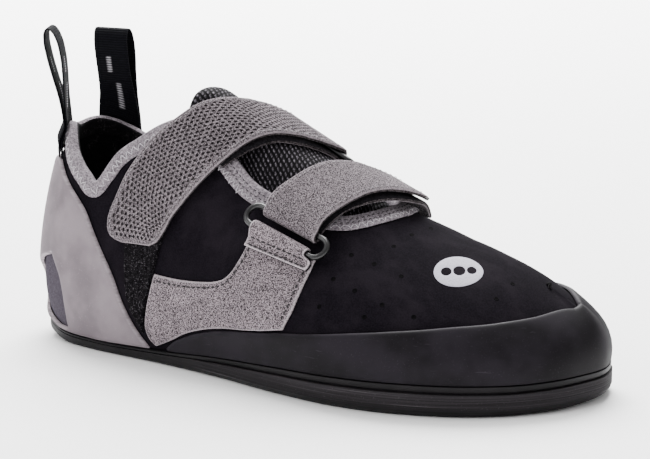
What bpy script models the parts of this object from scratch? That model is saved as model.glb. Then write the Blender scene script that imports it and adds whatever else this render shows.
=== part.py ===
"""Climbing shoe for the right foot: the construction.

Metres. +X runs to the toe, +Y to the inner (medial) side, +Z up.
The origin is on the floor, under the middle of the heel's flat spot.

The outside of the upper is one surface. It is read at (t, v) or at (u, w):
  u  0 at the back of the heel, 1 at the tip of the toe
  t  the same along the lateral side, and 2 - u on the way back along the medial side
  v  0 on the feather line, where upper and sole meet, and 1 on the ridge of the instep
  w  v - 1 on the lateral side and 1 - v on the medial side, so that 0 is the ridge
Overlays, straps and bindings are placed in these shares, so they follow a change of size.
"""
import math

import bmesh
import bpy
import numpy as np
from mathutils import Vector
from mathutils.geometry import delaunay_2d_cdt

# driving dimensions
LAST_LENGTH = 0.2575     # feather line, heel to toe
BALL_WIDTH = 0.090       # feather line across the ball
CROWN_HEIGHT = 0.115     # floor to the ridge above the heel
SOLE_HEIGHT = 0.013      # floor to the feather line at the ball
HEEL_CENTRE = 0.175      # share of the length, from the back to the middle of the heel's flat spot

# thicknesses and fits
GAP = 0.0003             # between pieces that are glued or sewn together
RAND_FOOT = 0.0001       # lift of the rands' lower edge, for the facets of the sole's rim
CURVE_GAP = 0.0005       # the same where a facetted shell lies on a tight curve
HEEL_GAP = 0.0009        # round the back of the heel, the tightest curve
WALL = 0.0018            # leather and lining of the upper
RAND = 0.0018            # rubber rand
PANEL = 0.0011           # suede panel or fastener strip
BIND = 0.0009            # binding tape
BIND_LEG = 0.0058        # how far the binding reaches down from the edge
THROAT_LEG = 0.0070      # the same around the throat
MARGIN = 0.0100          # lasting margin, turned in under the foot
INSOLE = 0.0020
STRAP = 0.0018
WEBBING = 0.0009
TONGUE = 0.0036
TAB = 0.0012

# sole
BAND_PROUD = 0.0005      # the thick front sole stands out this far from the rand
BEVEL_SHARE = 0.27       # of the side's height
BAND_SHARE = 0.74

# straps and hardware
WIRE = 0.0025            # ring wire
RING_WIDTH = 0.0114      # across the ring, over the wire
RING_SPARE = 0.0022      # each bar is this much longer than half the strap's width
TAB_SPARE = 0.0006       # the tab is this much wider than the strap, on each side
BAR_HEIGHT = 0.0052      # middle of the ring's lower bar over the upper
LOOP_WIDTH = 0.0175      # pull loop webbing
LOOP_OPEN = 0.0030       # half the opening between its two legs

PANEL_RIM = 0.0085       # between points on the edge of a panel
PANEL_STEP = 0.0095      # and inside it
SHEET_SCALE = np.array([0.290, 0.115])   # metres for one unit of t and of v, for even triangles


def table(names, *rows):
    """Columns of a table, by name."""
    return {name: np.array(column, float) for name, column in zip(names.split(), zip(*rows))}


# x is a share of the length, lat, med, ridge_y, bulge, rise and shoulders of the ball width,
# ridge_z of the crown height, feather and lifts of the sole height
LAST = table(
    "u     x      lat    med    feather ridge_x ridge_y ridge_z bulge rise   sh_lat sh_med",
    (0.00, 0.000, 0.000, 0.000, 0.92,   0.066,  0.000,  0.957,  0.158, 0.190, 0.100, 0.100),
    (0.04, 0.016, -0.165, 0.155, 0.73,  0.074,  0.000,  0.974,  0.152, 0.210, 0.130, 0.130),
    (0.10, 0.062, -0.278, 0.255, 0.50,  0.106,  0.000,  0.991,  0.122, 0.290, 0.200, 0.200),
    (0.20, 0.152, -0.344, 0.300, 0.385, 0.190,  0.000,  1.000,  0.09, 0.355, 0.267, 0.267),
    (0.32, 0.291, -0.378, 0.278, 0.46,  0.291,  0.011,  0.974,  0.08, 0.378, 0.267, 0.267),
    (0.44, 0.431, -0.433, 0.256, 0.69,  0.400,  0.033,  0.878,  0.09, 0.355, 0.267, 0.267),
    (0.56, 0.563, -0.511, 0.322, 0.88,  0.509,  0.056,  0.748,  0.09, 0.311, 0.289, 0.267),
    (0.66, 0.672, -0.544, 0.422, 0.96,  0.610,  0.089,  0.643,  0.08, 0.267, 0.333, 0.267),
    (0.76, 0.781, -0.500, 0.500, 1.00,  0.707,  0.122,  0.558,  0.07, 0.244, 0.333, 0.244),
    (0.85, 0.882, -0.367, 0.511, 1.00,  0.792,  0.156,  0.494,  0.055, 0.222, 0.267, 0.200),
    (0.92, 0.948, -0.189, 0.444, 1.00,  0.854,  0.178,  0.443,  0.033, 0.200, 0.200, 0.178),
    (0.97, 0.986, 0.000, 0.333, 1.04,   0.893,  0.189,  0.396,  0.028, 0.190, 0.167, 0.167),
    (1.00, 1.000, 0.178, 0.178, 1.04,   0.909,  0.200,  0.374,  0.022, 0.190, 0.155, 0.155),
)

# the fan of directions in which the wall meets the ridge, in degrees from straight ahead
FAN = table(
    "u     angle",
    (0.00, 180), (0.04, 150), (0.10, 118), (0.20, 92), (0.66, 90), (0.76, 84),
    (0.85, 66), (0.92, 42), (0.97, 18), (1.00, 0),
)
TOE_SLOPE = -0.45        # of the ridge, where it runs out over the toes

# how far the underside lifts off the floor, as shares of the sole height
UNDERSIDE = table(
    "u     lat    med",
    (0.00, 0.58, 0.58), (0.04, 0.34, 0.34), (0.075, 0.17, 0.17), (0.11, 0.06, 0.06),
    (0.14, 0.00, 0.00), (0.335, 0.00, 0.00), (0.40, 0.00, 0.14), (0.455, 0.00, 0.20),
    (0.525, 0.00, 0.10), (0.60, 0.00, 0.00), (0.90, 0.00, 0.00), (0.95, 0.03, 0.03), (1.00, 0.12, 0.12),
)

# how far the middle of the bed lies below the feather line, as a share of the sole height
BED = table(
    "u     dip",
    (0.00, 0.00), (0.10, 0.04), (0.20, 0.07), (0.32, 0.10), (0.44, 0.24), (0.56, 0.38), (0.66, 0.42),
    (0.85, 0.42), (0.92, 0.30), (0.97, 0.12), (1.00, 0.00),
)
BED_RUNGS = 5            # cells from side to side
MARGIN_DIP = 0.40        # of that dip, reached at the inner edge of the margin

# edge of the collar and throat: v on each side
OPENING = table(
    "u      lat    med",
    (0.000, 0.698, 0.698), (0.060, 0.690, 0.698), (0.115, 0.592, 0.645), (0.155, 0.532, 0.595),
    (0.185, 0.503, 0.570), (0.215, 0.590, 0.610), (0.255, 0.655, 0.660), (0.295, 0.722, 0.722),
    (0.335, 0.770, 0.770), (0.375, 0.778, 0.778), (0.415, 0.742, 0.742), (0.455, 0.692, 0.692),
    (0.490, 0.660, 0.665), (0.525, 0.655, 0.665), (0.560, 0.668, 0.675), (0.600, 0.686, 0.695),
    (0.635, 0.712, 0.720), (0.660, 0.752, 0.760), (0.682, 0.830, 0.840), (0.696, 0.915, 0.920),
    (0.703, 1.000, 1.000),
)
THROAT_END = 0.703

# stations of every loft along the shoe
STATIONS = np.array([
    0.00, 0.02, 0.045, 0.07, 0.09, 0.115, 0.14, 0.165, 0.185, 0.20, 0.22, 0.255, 0.295, 0.335, 0.375, 0.415,
    0.455, 0.49, 0.525, 0.56, 0.60, 0.635, 0.66, 0.682, 0.696, 0.703, 0.735, 0.77, 0.805, 0.84,
    0.87, 0.90, 0.925, 0.95, 0.97, 0.985, 1.00,
])
LOOP_T = np.concatenate([STATIONS, 2 - STATIONS[-2:0:-1]])


def slopes(xs, ys):
    """Slope at each inner point of a curve, from the parabola through it and its neighbours."""
    h = np.diff(xs)
    s = np.diff(ys) / h
    return (s[:-1] * h[1:] + s[1:] * h[:-1]) / (h[1:] + h[:-1])


def hermite(xs, ys, ds, q):
    k = np.clip(np.searchsorted(xs, q, side="right") - 1, 0, len(xs) - 2)
    h = xs[k + 1] - xs[k]
    r = (q - xs[k]) / h
    return ((2 * r**3 - 3 * r**2 + 1) * ys[k] + (r**3 - 2 * r**2 + r) * h * ds[k]
            + (3 * r**2 - 2 * r**3) * ys[k + 1] + (r**3 - r**2) * h * ds[k + 1])


def curve(xs, ys, q):
    """A smooth curve through the points (xs, ys), read at q."""
    xs = np.asarray(xs, float)
    ys = np.asarray(ys, float)
    s = np.diff(ys) / np.diff(xs)
    ds = np.concatenate([s[:1], slopes(xs, ys), s[-1:]])
    return hermite(xs, ys, ds, np.clip(np.asarray(q, float), xs[0], xs[-1]))


def around(lat, med, t):
    """A column of LAST read at t, smooth all the way around the shoe."""
    us = LAST["u"]
    xs = np.concatenate([us, 2 - us[-2:0:-1]])
    ys = np.concatenate([LAST[lat], LAST[med][-2:0:-1]])
    xs = np.concatenate([[xs[-1] - 2], xs, [2.0, 2 + xs[1]]])
    ys = np.concatenate([[ys[-1]], ys, [ys[0], ys[1]]])
    return hermite(xs[1:-1], ys[1:-1], slopes(xs, ys), np.mod(t, 2.0))


def fold_u(t):
    """u and side (-1 lateral, 1 medial) at t."""
    t = np.mod(t, 2.0)
    return np.where(t > 1, 2 - t, t), np.where(t > 1, 1.0, -1.0)


def outline(t, out=0.0):
    """The feather line seen from above, moved outwards by out."""
    t = np.asarray(t, float)

    def at(q):
        x = around("x", "x", q) * LAST_LENGTH - HEEL_CENTRE * LAST_LENGTH
        return np.stack([x, around("lat", "med", q) * BALL_WIDTH], -1)

    step = at(t + 1e-3) - at(t - 1e-3)
    normal = np.stack([step[..., 1], -step[..., 0]], -1)
    normal /= np.linalg.norm(normal, axis=-1, keepdims=True)
    return at(t) + normal * np.asarray(out)[..., None], normal


def feather(t):
    """Height of the feather line."""
    return around("feather", "feather", t) * SOLE_HEIGHT


def bed_dip(u):
    return np.interp(u, BED["u"], BED["dip"]) * SOLE_HEIGHT


def margin_height(t):
    """Height of the lasting margin's inner edge, on its lower face."""
    return feather(t) - MARGIN_DIP * bed_dip(fold_u(t)[0])


def bed(station, share):
    """Height of the bed across the shoe, inside the margin."""
    hollow = MARGIN_DIP + (1 - MARGIN_DIP) * (1 - (2 * share - 1)**4)
    return feather(station) + WALL - hollow * bed_dip(station)


def underside(t):
    u, side = fold_u(t)
    lat = np.interp(u, UNDERSIDE["u"], UNDERSIDE["lat"])
    med = np.interp(u, UNDERSIDE["u"], UNDERSIDE["med"])
    return np.where(side < 0, lat, med) * SOLE_HEIGHT


def raw_skin(t, v):
    """The outside of the upper: a cubic from the feather line up and over to the ridge."""
    t, v = np.broadcast_arrays(np.asarray(t, float), np.asarray(v, float))
    u, side = fold_u(t)
    plan, normal = outline(t)
    foot = np.concatenate([plan, feather(t)[..., None]], -1)
    bulge = around("bulge", "bulge", t)[..., None] * BALL_WIDTH
    rise = around("rise", "rise", t)[..., None] * BALL_WIDTH
    low = foot + np.concatenate([normal * bulge, rise], -1)

    def ridge(q):
        return np.stack([(around("ridge_x", "ridge_x", q) - HEEL_CENTRE) * LAST_LENGTH,
                         around("ridge_y", "ridge_y", q) * BALL_WIDTH,
                         around("ridge_z", "ridge_z", q) * CROWN_HEIGHT], -1)

    top = ridge(t)
    run = ridge(u + 1e-3) - ridge(u - 1e-3)
    tilt = np.where(u > 0.3, run[..., 2] / np.where(np.abs(run[..., 0]) < 1e-9, 1e-9, run[..., 0]), 0)
    tilt = np.where(u > 0.995, TOE_SLOPE, tilt)
    angle = np.radians(np.interp(u, FAN["u"], FAN["angle"]))
    shoulder = around("sh_lat", "sh_med", t) * BALL_WIDTH
    ahead = np.cos(angle) * shoulder
    high = top + np.stack([ahead, side * np.sin(angle) * shoulder, tilt * ahead], -1)
    v = v[..., None]
    return (1 - v)**3 * foot + 3 * (1 - v)**2 * v * low + 3 * (1 - v) * v**2 * high + v**3 * top


def skin(t, v, off=0.0):
    """A point of the upper's outside, moved outwards by off."""
    t, v, off = np.broadcast_arrays(np.asarray(t, float), np.asarray(v, float), np.asarray(off, float))
    e = 2e-3
    vn = np.clip(v, e, 0.985)
    along = raw_skin(t + e, vn) - raw_skin(t - e, vn)
    upward = raw_skin(t, vn + e) - raw_skin(t, vn - e)
    normal = np.cross(along, upward)
    normal /= np.linalg.norm(normal, axis=-1, keepdims=True)
    return raw_skin(t, v) + normal * off[..., None]


def rand_skin(t, v, off):
    """The skin for a rand, which stands on the sole's flange and goes no lower."""
    points = skin(t, v, off)
    t, _ = np.broadcast_arrays(np.asarray(t, float), np.asarray(v, float))
    points[..., 2] = np.maximum(points[..., 2], feather(t) + RAND_FOOT)
    return points


def skin_uw(u, w, off=0.0):
    """The same read at (u, w), so that it runs over the ridge."""
    u, w, off = np.broadcast_arrays(np.asarray(u, float), np.asarray(w, float), np.asarray(off, float))
    near = 0.03
    lat = skin(u, np.clip(1 + w, 0, 1), off)
    med = skin(2 - u, np.clip(1 - w, 0, 1), off)
    share = np.clip((w + near) / (2 * near), 0, 1)[..., None]
    lat_only = skin(u, np.clip(1 - np.abs(w), 0, 1), off)
    med_only = skin(2 - u, np.clip(1 - np.abs(w), 0, 1), off)
    mid = lat * (1 - share) + med * share
    out = np.where(w[..., None] <= -near, lat_only, med_only)
    return np.where(np.abs(w)[..., None] < near, mid, out)


# materials

def finish(name, colour, rough, metal=0.0):
    mat = bpy.data.materials.new(name)
    mat.use_nodes = True
    bsdf = mat.node_tree.nodes["Principled BSDF"]
    bsdf.inputs["Base Color"].default_value = (*colour, 1)
    bsdf.inputs["Roughness"].default_value = rough
    bsdf.inputs["Metallic"].default_value = metal
    mat.diffuse_color = (*colour, 1)
    return mat


def start_scene():
    for obj in list(bpy.data.objects):
        bpy.data.objects.remove(obj)
    parts = bpy.data.collections.new("climbing_shoe")
    bpy.context.scene.collection.children.link(parts)
    return parts


# meshes

class Mesh:
    """Vertices and faces, gathered in code."""

    def __init__(self):
        self.verts = []
        self.faces = []

    def add(self, points):
        """Add points of any grid shape and return their numbers in the same shape."""
        points = np.asarray(points, float)
        first = len(self.verts)
        flat = points.reshape(-1, 3)
        self.verts.extend(map(tuple, flat))
        return np.arange(first, first + len(flat)).reshape(points.shape[:-1])

    def quads(self, grid, wrap=False):
        """Faces between the neighbouring rows and columns of a grid of numbers."""
        rows, cols = grid.shape
        last = cols if wrap else cols - 1
        for i in range(rows - 1):
            for j in range(last):
                k = (j + 1) % cols
                self.faces.append((grid[i, j], grid[i, k], grid[i + 1, k], grid[i + 1, j]))

    def solid(self, name, parts, mat):
        mesh = bpy.data.meshes.new(name)
        mesh.from_pydata(self.verts, [], [tuple(int(n) for n in face) for face in self.faces])
        bm = bmesh.new()
        bm.from_mesh(mesh)
        bmesh.ops.remove_doubles(bm, verts=bm.verts, dist=1e-6)
        bmesh.ops.dissolve_degenerate(bm, edges=bm.edges, dist=1e-6)
        bmesh.ops.triangulate(bm, faces=bm.faces)
        bmesh.ops.recalc_face_normals(bm, faces=bm.faces)
        if bm.calc_volume(signed=True) < 0:
            bmesh.ops.reverse_faces(bm, faces=bm.faces)
        bm.to_mesh(mesh)
        bm.free()
        mesh.shade_smooth()
        mesh.set_sharp_from_angle(angle=math.radians(40))
        mesh.materials.append(mat)
        obj = bpy.data.objects.new(name, mesh)
        parts.objects.link(obj)
        return obj


def thick_grid(outer, inner, wrap=False):
    """A closed solid between two matching grids of points."""
    made = Mesh()
    a = made.add(outer)
    b = made.add(inner)
    made.quads(a, wrap)
    made.quads(b, wrap)
    made.quads(np.stack([a[0], b[0]]), wrap)
    made.quads(np.stack([a[-1], b[-1]]), wrap)
    if not wrap:
        made.quads(np.stack([a[:, 0], b[:, 0]]))
        made.quads(np.stack([a[:, -1], b[:, -1]]))
    return made


def tube(sections, wrap=False):
    """A closed solid along a row of closed sections."""
    made = Mesh()
    grid = made.add(sections)
    if wrap:
        grid = np.concatenate([grid, grid[:1]])
    made.quads(grid, wrap=True)
    if not wrap:
        made.faces.append(tuple(grid[0]))
        made.faces.append(tuple(grid[-1][::-1]))
    return made


def grid_normals(points):
    along = np.gradient(points, axis=0)
    across = np.gradient(points, axis=1)
    normal = np.cross(along, across)
    return normal / np.linalg.norm(normal, axis=-1, keepdims=True)


def ribbon(middle, thickness):
    """A strap of even thickness about its middle surface."""
    normal = grid_normals(middle) * thickness / 2
    return thick_grid(middle + normal, middle - normal)


def fill_loop(made, ring, height, across):
    """Close a ring around the shoe by rungs from side to side; height(u, share) gives z."""
    half = len(ring) // 2
    lat = ring[:half + 1]
    med = np.concatenate([ring[:1], ring[half:][::-1]])
    points = np.array(made.verts)
    rungs = []
    for k in range(half + 1):
        if lat[k] == med[k]:
            rungs.append(np.full(across + 1, lat[k]))
            continue
        share = np.linspace(0, 1, across + 1)[1:-1, None]
        row = points[lat[k]] * (1 - share) + points[med[k]] * share
        row[:, 2] = [height(STATIONS[k], s) for s in share[:, 0]]
        rungs.append(np.concatenate([[lat[k]], made.add(row), [med[k]]]))
    made.quads(np.array(rungs))


# outlines in (t, v) or (u, w), for sheets cut from the surface

def loop_of(points, count):
    """A closed outline: stretches between sharp corners are smooth. points: (a, b, corner)."""
    corners = [k for k, p in enumerate(points) if p[2]]
    out = []
    for n, k in enumerate(corners):
        end = corners[(n + 1) % len(corners)]
        if end <= k:
            end += len(points)
        run = np.array([points[m % len(points)][:2] for m in range(k, end + 1)], float)
        scaled = run * SHEET_SCALE
        s = np.concatenate([[0], np.cumsum(np.linalg.norm(np.diff(scaled, axis=0), axis=1))])
        steps = max(1, round(s[-1] / count))
        q = np.linspace(0, s[-1], steps + 1)[:-1]
        if len(run) == 2:
            a = np.interp(q, s, run[:, 0])
            b = np.interp(q, s, run[:, 1])
        else:
            a = curve(s, run[:, 0], q)
            b = curve(s, run[:, 1], q)
        out.extend(zip(a, b))
    return np.array(out)


def inside(polygon, points):
    x, y = points[:, 0], points[:, 1]
    hit = np.zeros(len(points), bool)
    for (x0, y0), (x1, y1) in zip(polygon, np.roll(polygon, -1, axis=0)):
        crosses = (y0 > y) != (y1 > y)
        with np.errstate(divide="ignore", invalid="ignore"):
            hit ^= crosses & (x < (x1 - x0) * (y - y0) / (y1 - y0) + x0)
    return hit


def sheet(surface, outer, holes, step, low, high):
    """A sheet cut from the surface: its outline, holes and thickness from low to high."""
    rims = [loop * SHEET_SCALE for loop in [outer, *holes]]
    low_corner = rims[0].min(0)
    high_corner = rims[0].max(0)
    rows = np.arange(low_corner[1], high_corner[1], step * 0.87)
    lattice = []
    for n, y in enumerate(rows):
        xs = np.arange(low_corner[0] + (n % 2) * step / 2, high_corner[0], step)
        lattice.append(np.stack([xs, np.full_like(xs, y)], -1))
    lattice = np.concatenate(lattice)
    keep = inside(rims[0], lattice)
    for rim in rims[1:]:
        keep &= ~inside(rim, lattice)
    rim_points = np.concatenate(rims)
    apart = np.linalg.norm(lattice[:, None] - rim_points[None], axis=-1).min(1)
    lattice = lattice[keep & (apart > 0.62 * step)]
    edges = []
    first = 0
    for rim in rims:
        n = len(rim)
        edges.extend((first + k, first + (k + 1) % n) for k in range(n))
        first += n
    flat = [Vector(p) for p in np.concatenate([rim_points, lattice])]
    points, _, faces, _, _, _ = delaunay_2d_cdt(flat, edges, [], 0, 1e-7)
    points = np.array([tuple(p) for p in points])
    middle = np.array([points[list(face)].mean(0) for face in faces])
    keep = inside(rims[0], middle)
    for rim in rims[1:]:
        keep &= ~inside(rim, middle)
    faces = [face for face, good in zip(faces, keep) if good]
    a, b = (points / SHEET_SCALE).T
    made = Mesh()
    top = made.add(surface(a, b, high))
    bottom = made.add(surface(a, b, low))
    count = {}
    for face in faces:
        for k in range(3):
            edge = (face[k], face[(k + 1) % 3])
            count[edge] = True
        made.faces.append(tuple(top[list(face)]))
        made.faces.append(tuple(bottom[list(face)][::-1]))
    for i, j in count:
        if (j, i) not in count:
            made.faces.append((top[j], top[i], bottom[i], bottom[j]))
    return made


# pieces

def make_upper(parts, mat):
    """One hollow wall from the lasting margin to the collar, closed over the toes."""
    rows = 9
    half = len(STATIONS) - 1
    u, side = fold_u(LOOP_T)
    lat = curve(OPENING["u"], OPENING["lat"], u)
    med = curve(OPENING["u"], OPENING["med"], u)
    edge = np.where(u >= THROAT_END, 1.0, np.where(side < 0, lat, med))
    share = np.linspace(0, 1, rows + 1)[:, None]
    v = edge[None, :] * share
    outer = skin(LOOP_T[None, :], v, 0.0)
    inner = skin(LOOP_T[None, :], v, -WALL)
    made = Mesh()
    margin = {}
    for name, z in (("under", 0.0), ("over", WALL)):
        plan, _ = outline(LOOP_T, -MARGIN)
        margin[name] = np.concatenate([plan, (margin_height(LOOP_T) + z)[:, None]], -1)[None]
    plan, _ = outline(LOOP_T, -WALL)
    inner[0] = np.concatenate([plan, (feather(LOOP_T) + WALL)[:, None]], -1)
    for k in range(half + 1):
        if STATIONS[k] >= THROAT_END and 0 < k < half:
            twin = 2 * half - k
            middle = (inner[-1, k] + inner[-1, twin]) / 2
            inner[-1, k] = inner[-1, twin] = middle
    a = made.add(np.concatenate([margin["under"], outer]))
    b = made.add(np.concatenate([margin["over"], inner]))
    made.quads(a, wrap=True)
    made.quads(b, wrap=True)
    made.quads(np.stack([a[0], b[0]]), wrap=True)
    count = len(LOOP_T)
    for k in range(count):
        n = (k + 1) % count
        if u[k] > THROAT_END or u[n] > THROAT_END:
            continue
        made.faces.append((a[-1, k], a[-1, n], b[-1, n], b[-1, k]))
    return made.solid("upper", parts, mat)


def make_outsole(parts, mat):
    """Sole with a bevelled rim, a thicker front band, an arch and a bed inside the margin."""
    made = Mesh()
    top = feather(LOOP_T) - GAP
    floor = underside(LOOP_T)
    u, _ = fold_u(LOOP_T)
    band = np.clip((u - 0.46) / 0.05, 0, 1) * BAND_PROUD
    side = RAND + CURVE_GAP
    tall = top - floor
    profile = (
        (side - 0.0016, floor),
        (side + band, floor + tall * BEVEL_SHARE),
        (side + band, floor + tall * BAND_SHARE),
        (side + 0 * band, floor + tall * (BAND_SHARE + 0.06)),
        (side + 0 * band, top),
        (-(MARGIN + CURVE_GAP) + 0 * band, margin_height(LOOP_T) - GAP),
        (-(MARGIN + CURVE_GAP) + 0 * band, margin_height(LOOP_T) + WALL),
    )
    rings = []
    for out, z in profile:
        plan, _ = outline(LOOP_T, np.broadcast_to(out, LOOP_T.shape))
        rings.append(np.concatenate([plan, z[:, None]], -1))
    grid = made.add(np.array(rings))
    made.quads(grid, wrap=True)

    def under(station, share):
        lat = underside(station)
        med = underside(2 - station)
        return lat * (1 - share) + med * share

    fill_loop(made, grid[0], under, BED_RUNGS)
    fill_loop(made, grid[-1], bed, BED_RUNGS)
    return made.solid("outsole", parts, mat)


def make_insole(parts, mat):
    made = Mesh()
    low = WALL + CURVE_GAP
    edge, _ = outline(LOOP_T, -WALL - 0.0010)
    inner, _ = outline(LOOP_T, -MARGIN - CURVE_GAP)
    rings = []
    for z in (low, low + INSOLE):
        rings.append(np.concatenate([inner, (margin_height(LOOP_T) + z)[:, None]], -1))
        rings.append(np.concatenate([edge, (feather(LOOP_T) + z)[:, None]], -1))
    grid = made.add(np.array([rings[0], rings[1], rings[3], rings[2]]))
    made.quads(grid, wrap=True)
    for ring, z in ((grid[0], low - WALL), (grid[-1], low - WALL + INSOLE)):
        fill_loop(made, ring, lambda station, share, z=z: bed(station, share) + z, BED_RUNGS)
    return made.solid("insole", parts, mat)


# top of the tongue above the upper's own surface, in millimetres, and its half width in w
TONGUE_ROWS = table(
    "u      half   crown",
    (0.322, 0.235, 1.0), (0.334, 0.270, 2.8), (0.350, 0.290, 3.8), (0.370, 0.300, 3.5),
    (0.396, 0.312, 2.5), (0.440, 0.340, 2.4), (0.475, 0.375, 2.4), (0.510, 0.395, 2.6),
    (0.545, 0.395, 2.7), (0.580, 0.385, 2.6), (0.615, 0.370, 1.9), (0.645, 0.350, 0.6),
    (0.670, 0.320, -1.6), (0.690, 0.300, -3.4), (0.715, 0.280, -4.1), (0.740, 0.250, -4.1),
)
TUCK = WALL + GAP + BIND + 0.0009      # the tongue's edges stay this deep below the outside


def make_tongue(parts, mat):
    """A padded tongue: its sides lie under the upper, its middle fills the throat."""
    us = TONGUE_ROWS["u"][:, None]
    half = TONGUE_ROWS["half"][:, None]
    crown = TONGUE_ROWS["crown"][:, None] * 1e-3
    c = np.linspace(-1, 1, 11)[None, :]
    w = c * half
    opening = 1 - (curve(OPENING["u"], OPENING["lat"], us) + curve(OPENING["u"], OPENING["med"], us)) / 2
    opening = np.maximum(opening, 0.10)
    r = np.clip((np.abs(w) / (opening * 0.97) - 0.30) / 0.70, 0, 1)
    swell = 1 - r * r * (3 - 2 * r)
    top = -TUCK + (crown + TUCK) * swell
    top = np.minimum(top, crown)
    thick = TONGUE * (0.55 + 0.45 * np.cos(c * math.pi / 2)) + 0 * top
    outer = skin_uw(us, w, top)
    inner = skin_uw(us, w, top - thick)
    return thick_grid(outer, inner).solid("tongue", parts, mat)


# edge of the toe rand: v of its top, round from the lateral point over the toe
TOE_RAND = table(
    "t      top",
    (0.345, 0.010), (0.359, 0.038), (0.380, 0.062), (0.420, 0.093), (0.463, 0.113), (0.506, 0.127), (0.547, 0.142),
    (0.585, 0.162), (0.622, 0.181), (0.655, 0.202), (0.701, 0.233), (0.755, 0.272), (0.791, 0.303), (0.825, 0.338),
    (0.880, 0.400), (0.925, 0.484), (0.965, 0.610), (1.000, 0.670), (1.045, 0.650), (1.080, 0.560), (1.120, 0.490),
    (1.170, 0.425), (1.230, 0.375), (1.300, 0.325), (1.380, 0.265), (1.450, 0.200), (1.520, 0.130), (1.570, 0.055),
    (1.595, 0.012),
)


def make_toe_rand(parts, mat):
    t = np.array([k for k in LOOP_T if 0.36 < k < 1.58])
    t = np.concatenate([[TOE_RAND["t"][0]], t, [TOE_RAND["t"][-1]]])
    top = curve(TOE_RAND["t"], TOE_RAND["top"], t)
    v = np.linspace(0, 1, 6)[:, None] * top[None, :]
    outer = rand_skin(t[None, :], v, CURVE_GAP + RAND)
    inner = rand_skin(t[None, :], v, CURVE_GAP)
    for grid, out in ((outer, CURVE_GAP + RAND), (inner, CURVE_GAP)):
        plan, _ = outline(t, out)
        grid[0, :, :2] = plan
    return thick_grid(outer, inner).solid("toe_rand", parts, mat)


def both_ways(points):
    """An outline given for the lateral half, closed by its mirror image on the medial side."""
    return [*points, *[(-a, b, corner) for a, b, corner in reversed(points) if abs(a) > 1e-9]]


HEEL_RAND_EDGE = (
    (0.000, 0.585, False), (0.040, 0.583, False), (0.076, 0.570, True), (0.122, 0.500, False), (0.167, 0.432, False),
    (0.197, 0.367, False), (0.225, 0.302, False), (0.248, 0.235, False), (0.266, 0.160, False), (0.287, 0.082, False),
    (0.312, 0.004, True), (0.200, 0.004, False), (0.100, 0.004, False), (0.000, 0.004, False),
)
HEEL_WINDOW = (
    (0.104, 0.285, True), (0.130, 0.210, False), (0.140, 0.120, False), (0.143, 0.022, True),
    (0.070, 0.030, False), (0.033, 0.090, False), (0.030, 0.180, False), (0.058, 0.258, False),
)


def make_heel_rand(parts, mat):
    edge = loop_of(both_ways(HEEL_RAND_EDGE), 0.0060)
    window = loop_of(HEEL_WINDOW, 0.0060)
    mirror = window * [-1, 1]
    made = sheet(rand_skin, edge, [window, mirror], 0.0066, HEEL_GAP, HEEL_GAP + RAND)
    return made.solid("heel_rand", parts, mat)


LATERAL_PANEL = (
    (0.519, -0.509, True), (0.633, -0.494, True), (0.626, -0.565, False), (0.614, -0.660, False),
    (0.602, -0.743, False), (0.585, -0.826, True), (0.547, -0.849, False), (0.506, -0.866, False),
    (0.463, -0.877, False), (0.420, -0.896, False), (0.380, -0.926, False), (0.359, -0.951, False),
    (0.326, -0.985, True), (0.314, -0.955, False), (0.309, -0.925, False), (0.312, -0.853, False),
    (0.320, -0.788, False), (0.327, -0.738, True), (0.351, -0.741, False), (0.381, -0.741, False),
    (0.420, -0.733, False), (0.444, -0.723, False), (0.465, -0.705, False), (0.481, -0.673, False),
    (0.495, -0.625, False), (0.503, -0.590, False), (0.511, -0.546, False),
)
MEDIAL_PANEL = (
    (0.430, 0.435, True), (0.540, 0.447, False), (0.655, 0.425, True), (0.682, 0.500, False), (0.700, 0.590, True),
    (0.640, 0.655, False), (0.560, 0.725, False), (0.500, 0.800, False), (0.452, 0.865, True),
    (0.428, 0.700, False), (0.424, 0.540, False),
)
LOOP_STRIP = (
    (0.272, -0.520, True), (0.347, -0.540, True), (0.341, -0.600, False), (0.331, -0.680, False),
    (0.323, -0.742, False), (0.316, -0.795, False), (0.308, -0.855, False), (0.304, -0.925, False),
    (0.303, -0.940, True), (0.299, -0.925, False), (0.290, -0.895, False), (0.277, -0.832, False),
    (0.270, -0.753, False), (0.267, -0.680, False), (0.267, -0.600, False),
)


def make_panels(parts, suede, pile):
    for name, points, mat in (("lateral_panel", LATERAL_PANEL, suede), ("medial_panel", MEDIAL_PANEL, suede),
                              ("loop_strip", LOOP_STRIP, pile)):
        made = sheet(skin_uw, loop_of(points, PANEL_RIM), [], PANEL_STEP, CURVE_GAP, CURVE_GAP + PANEL)
        made.solid(name, parts, mat)


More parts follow.
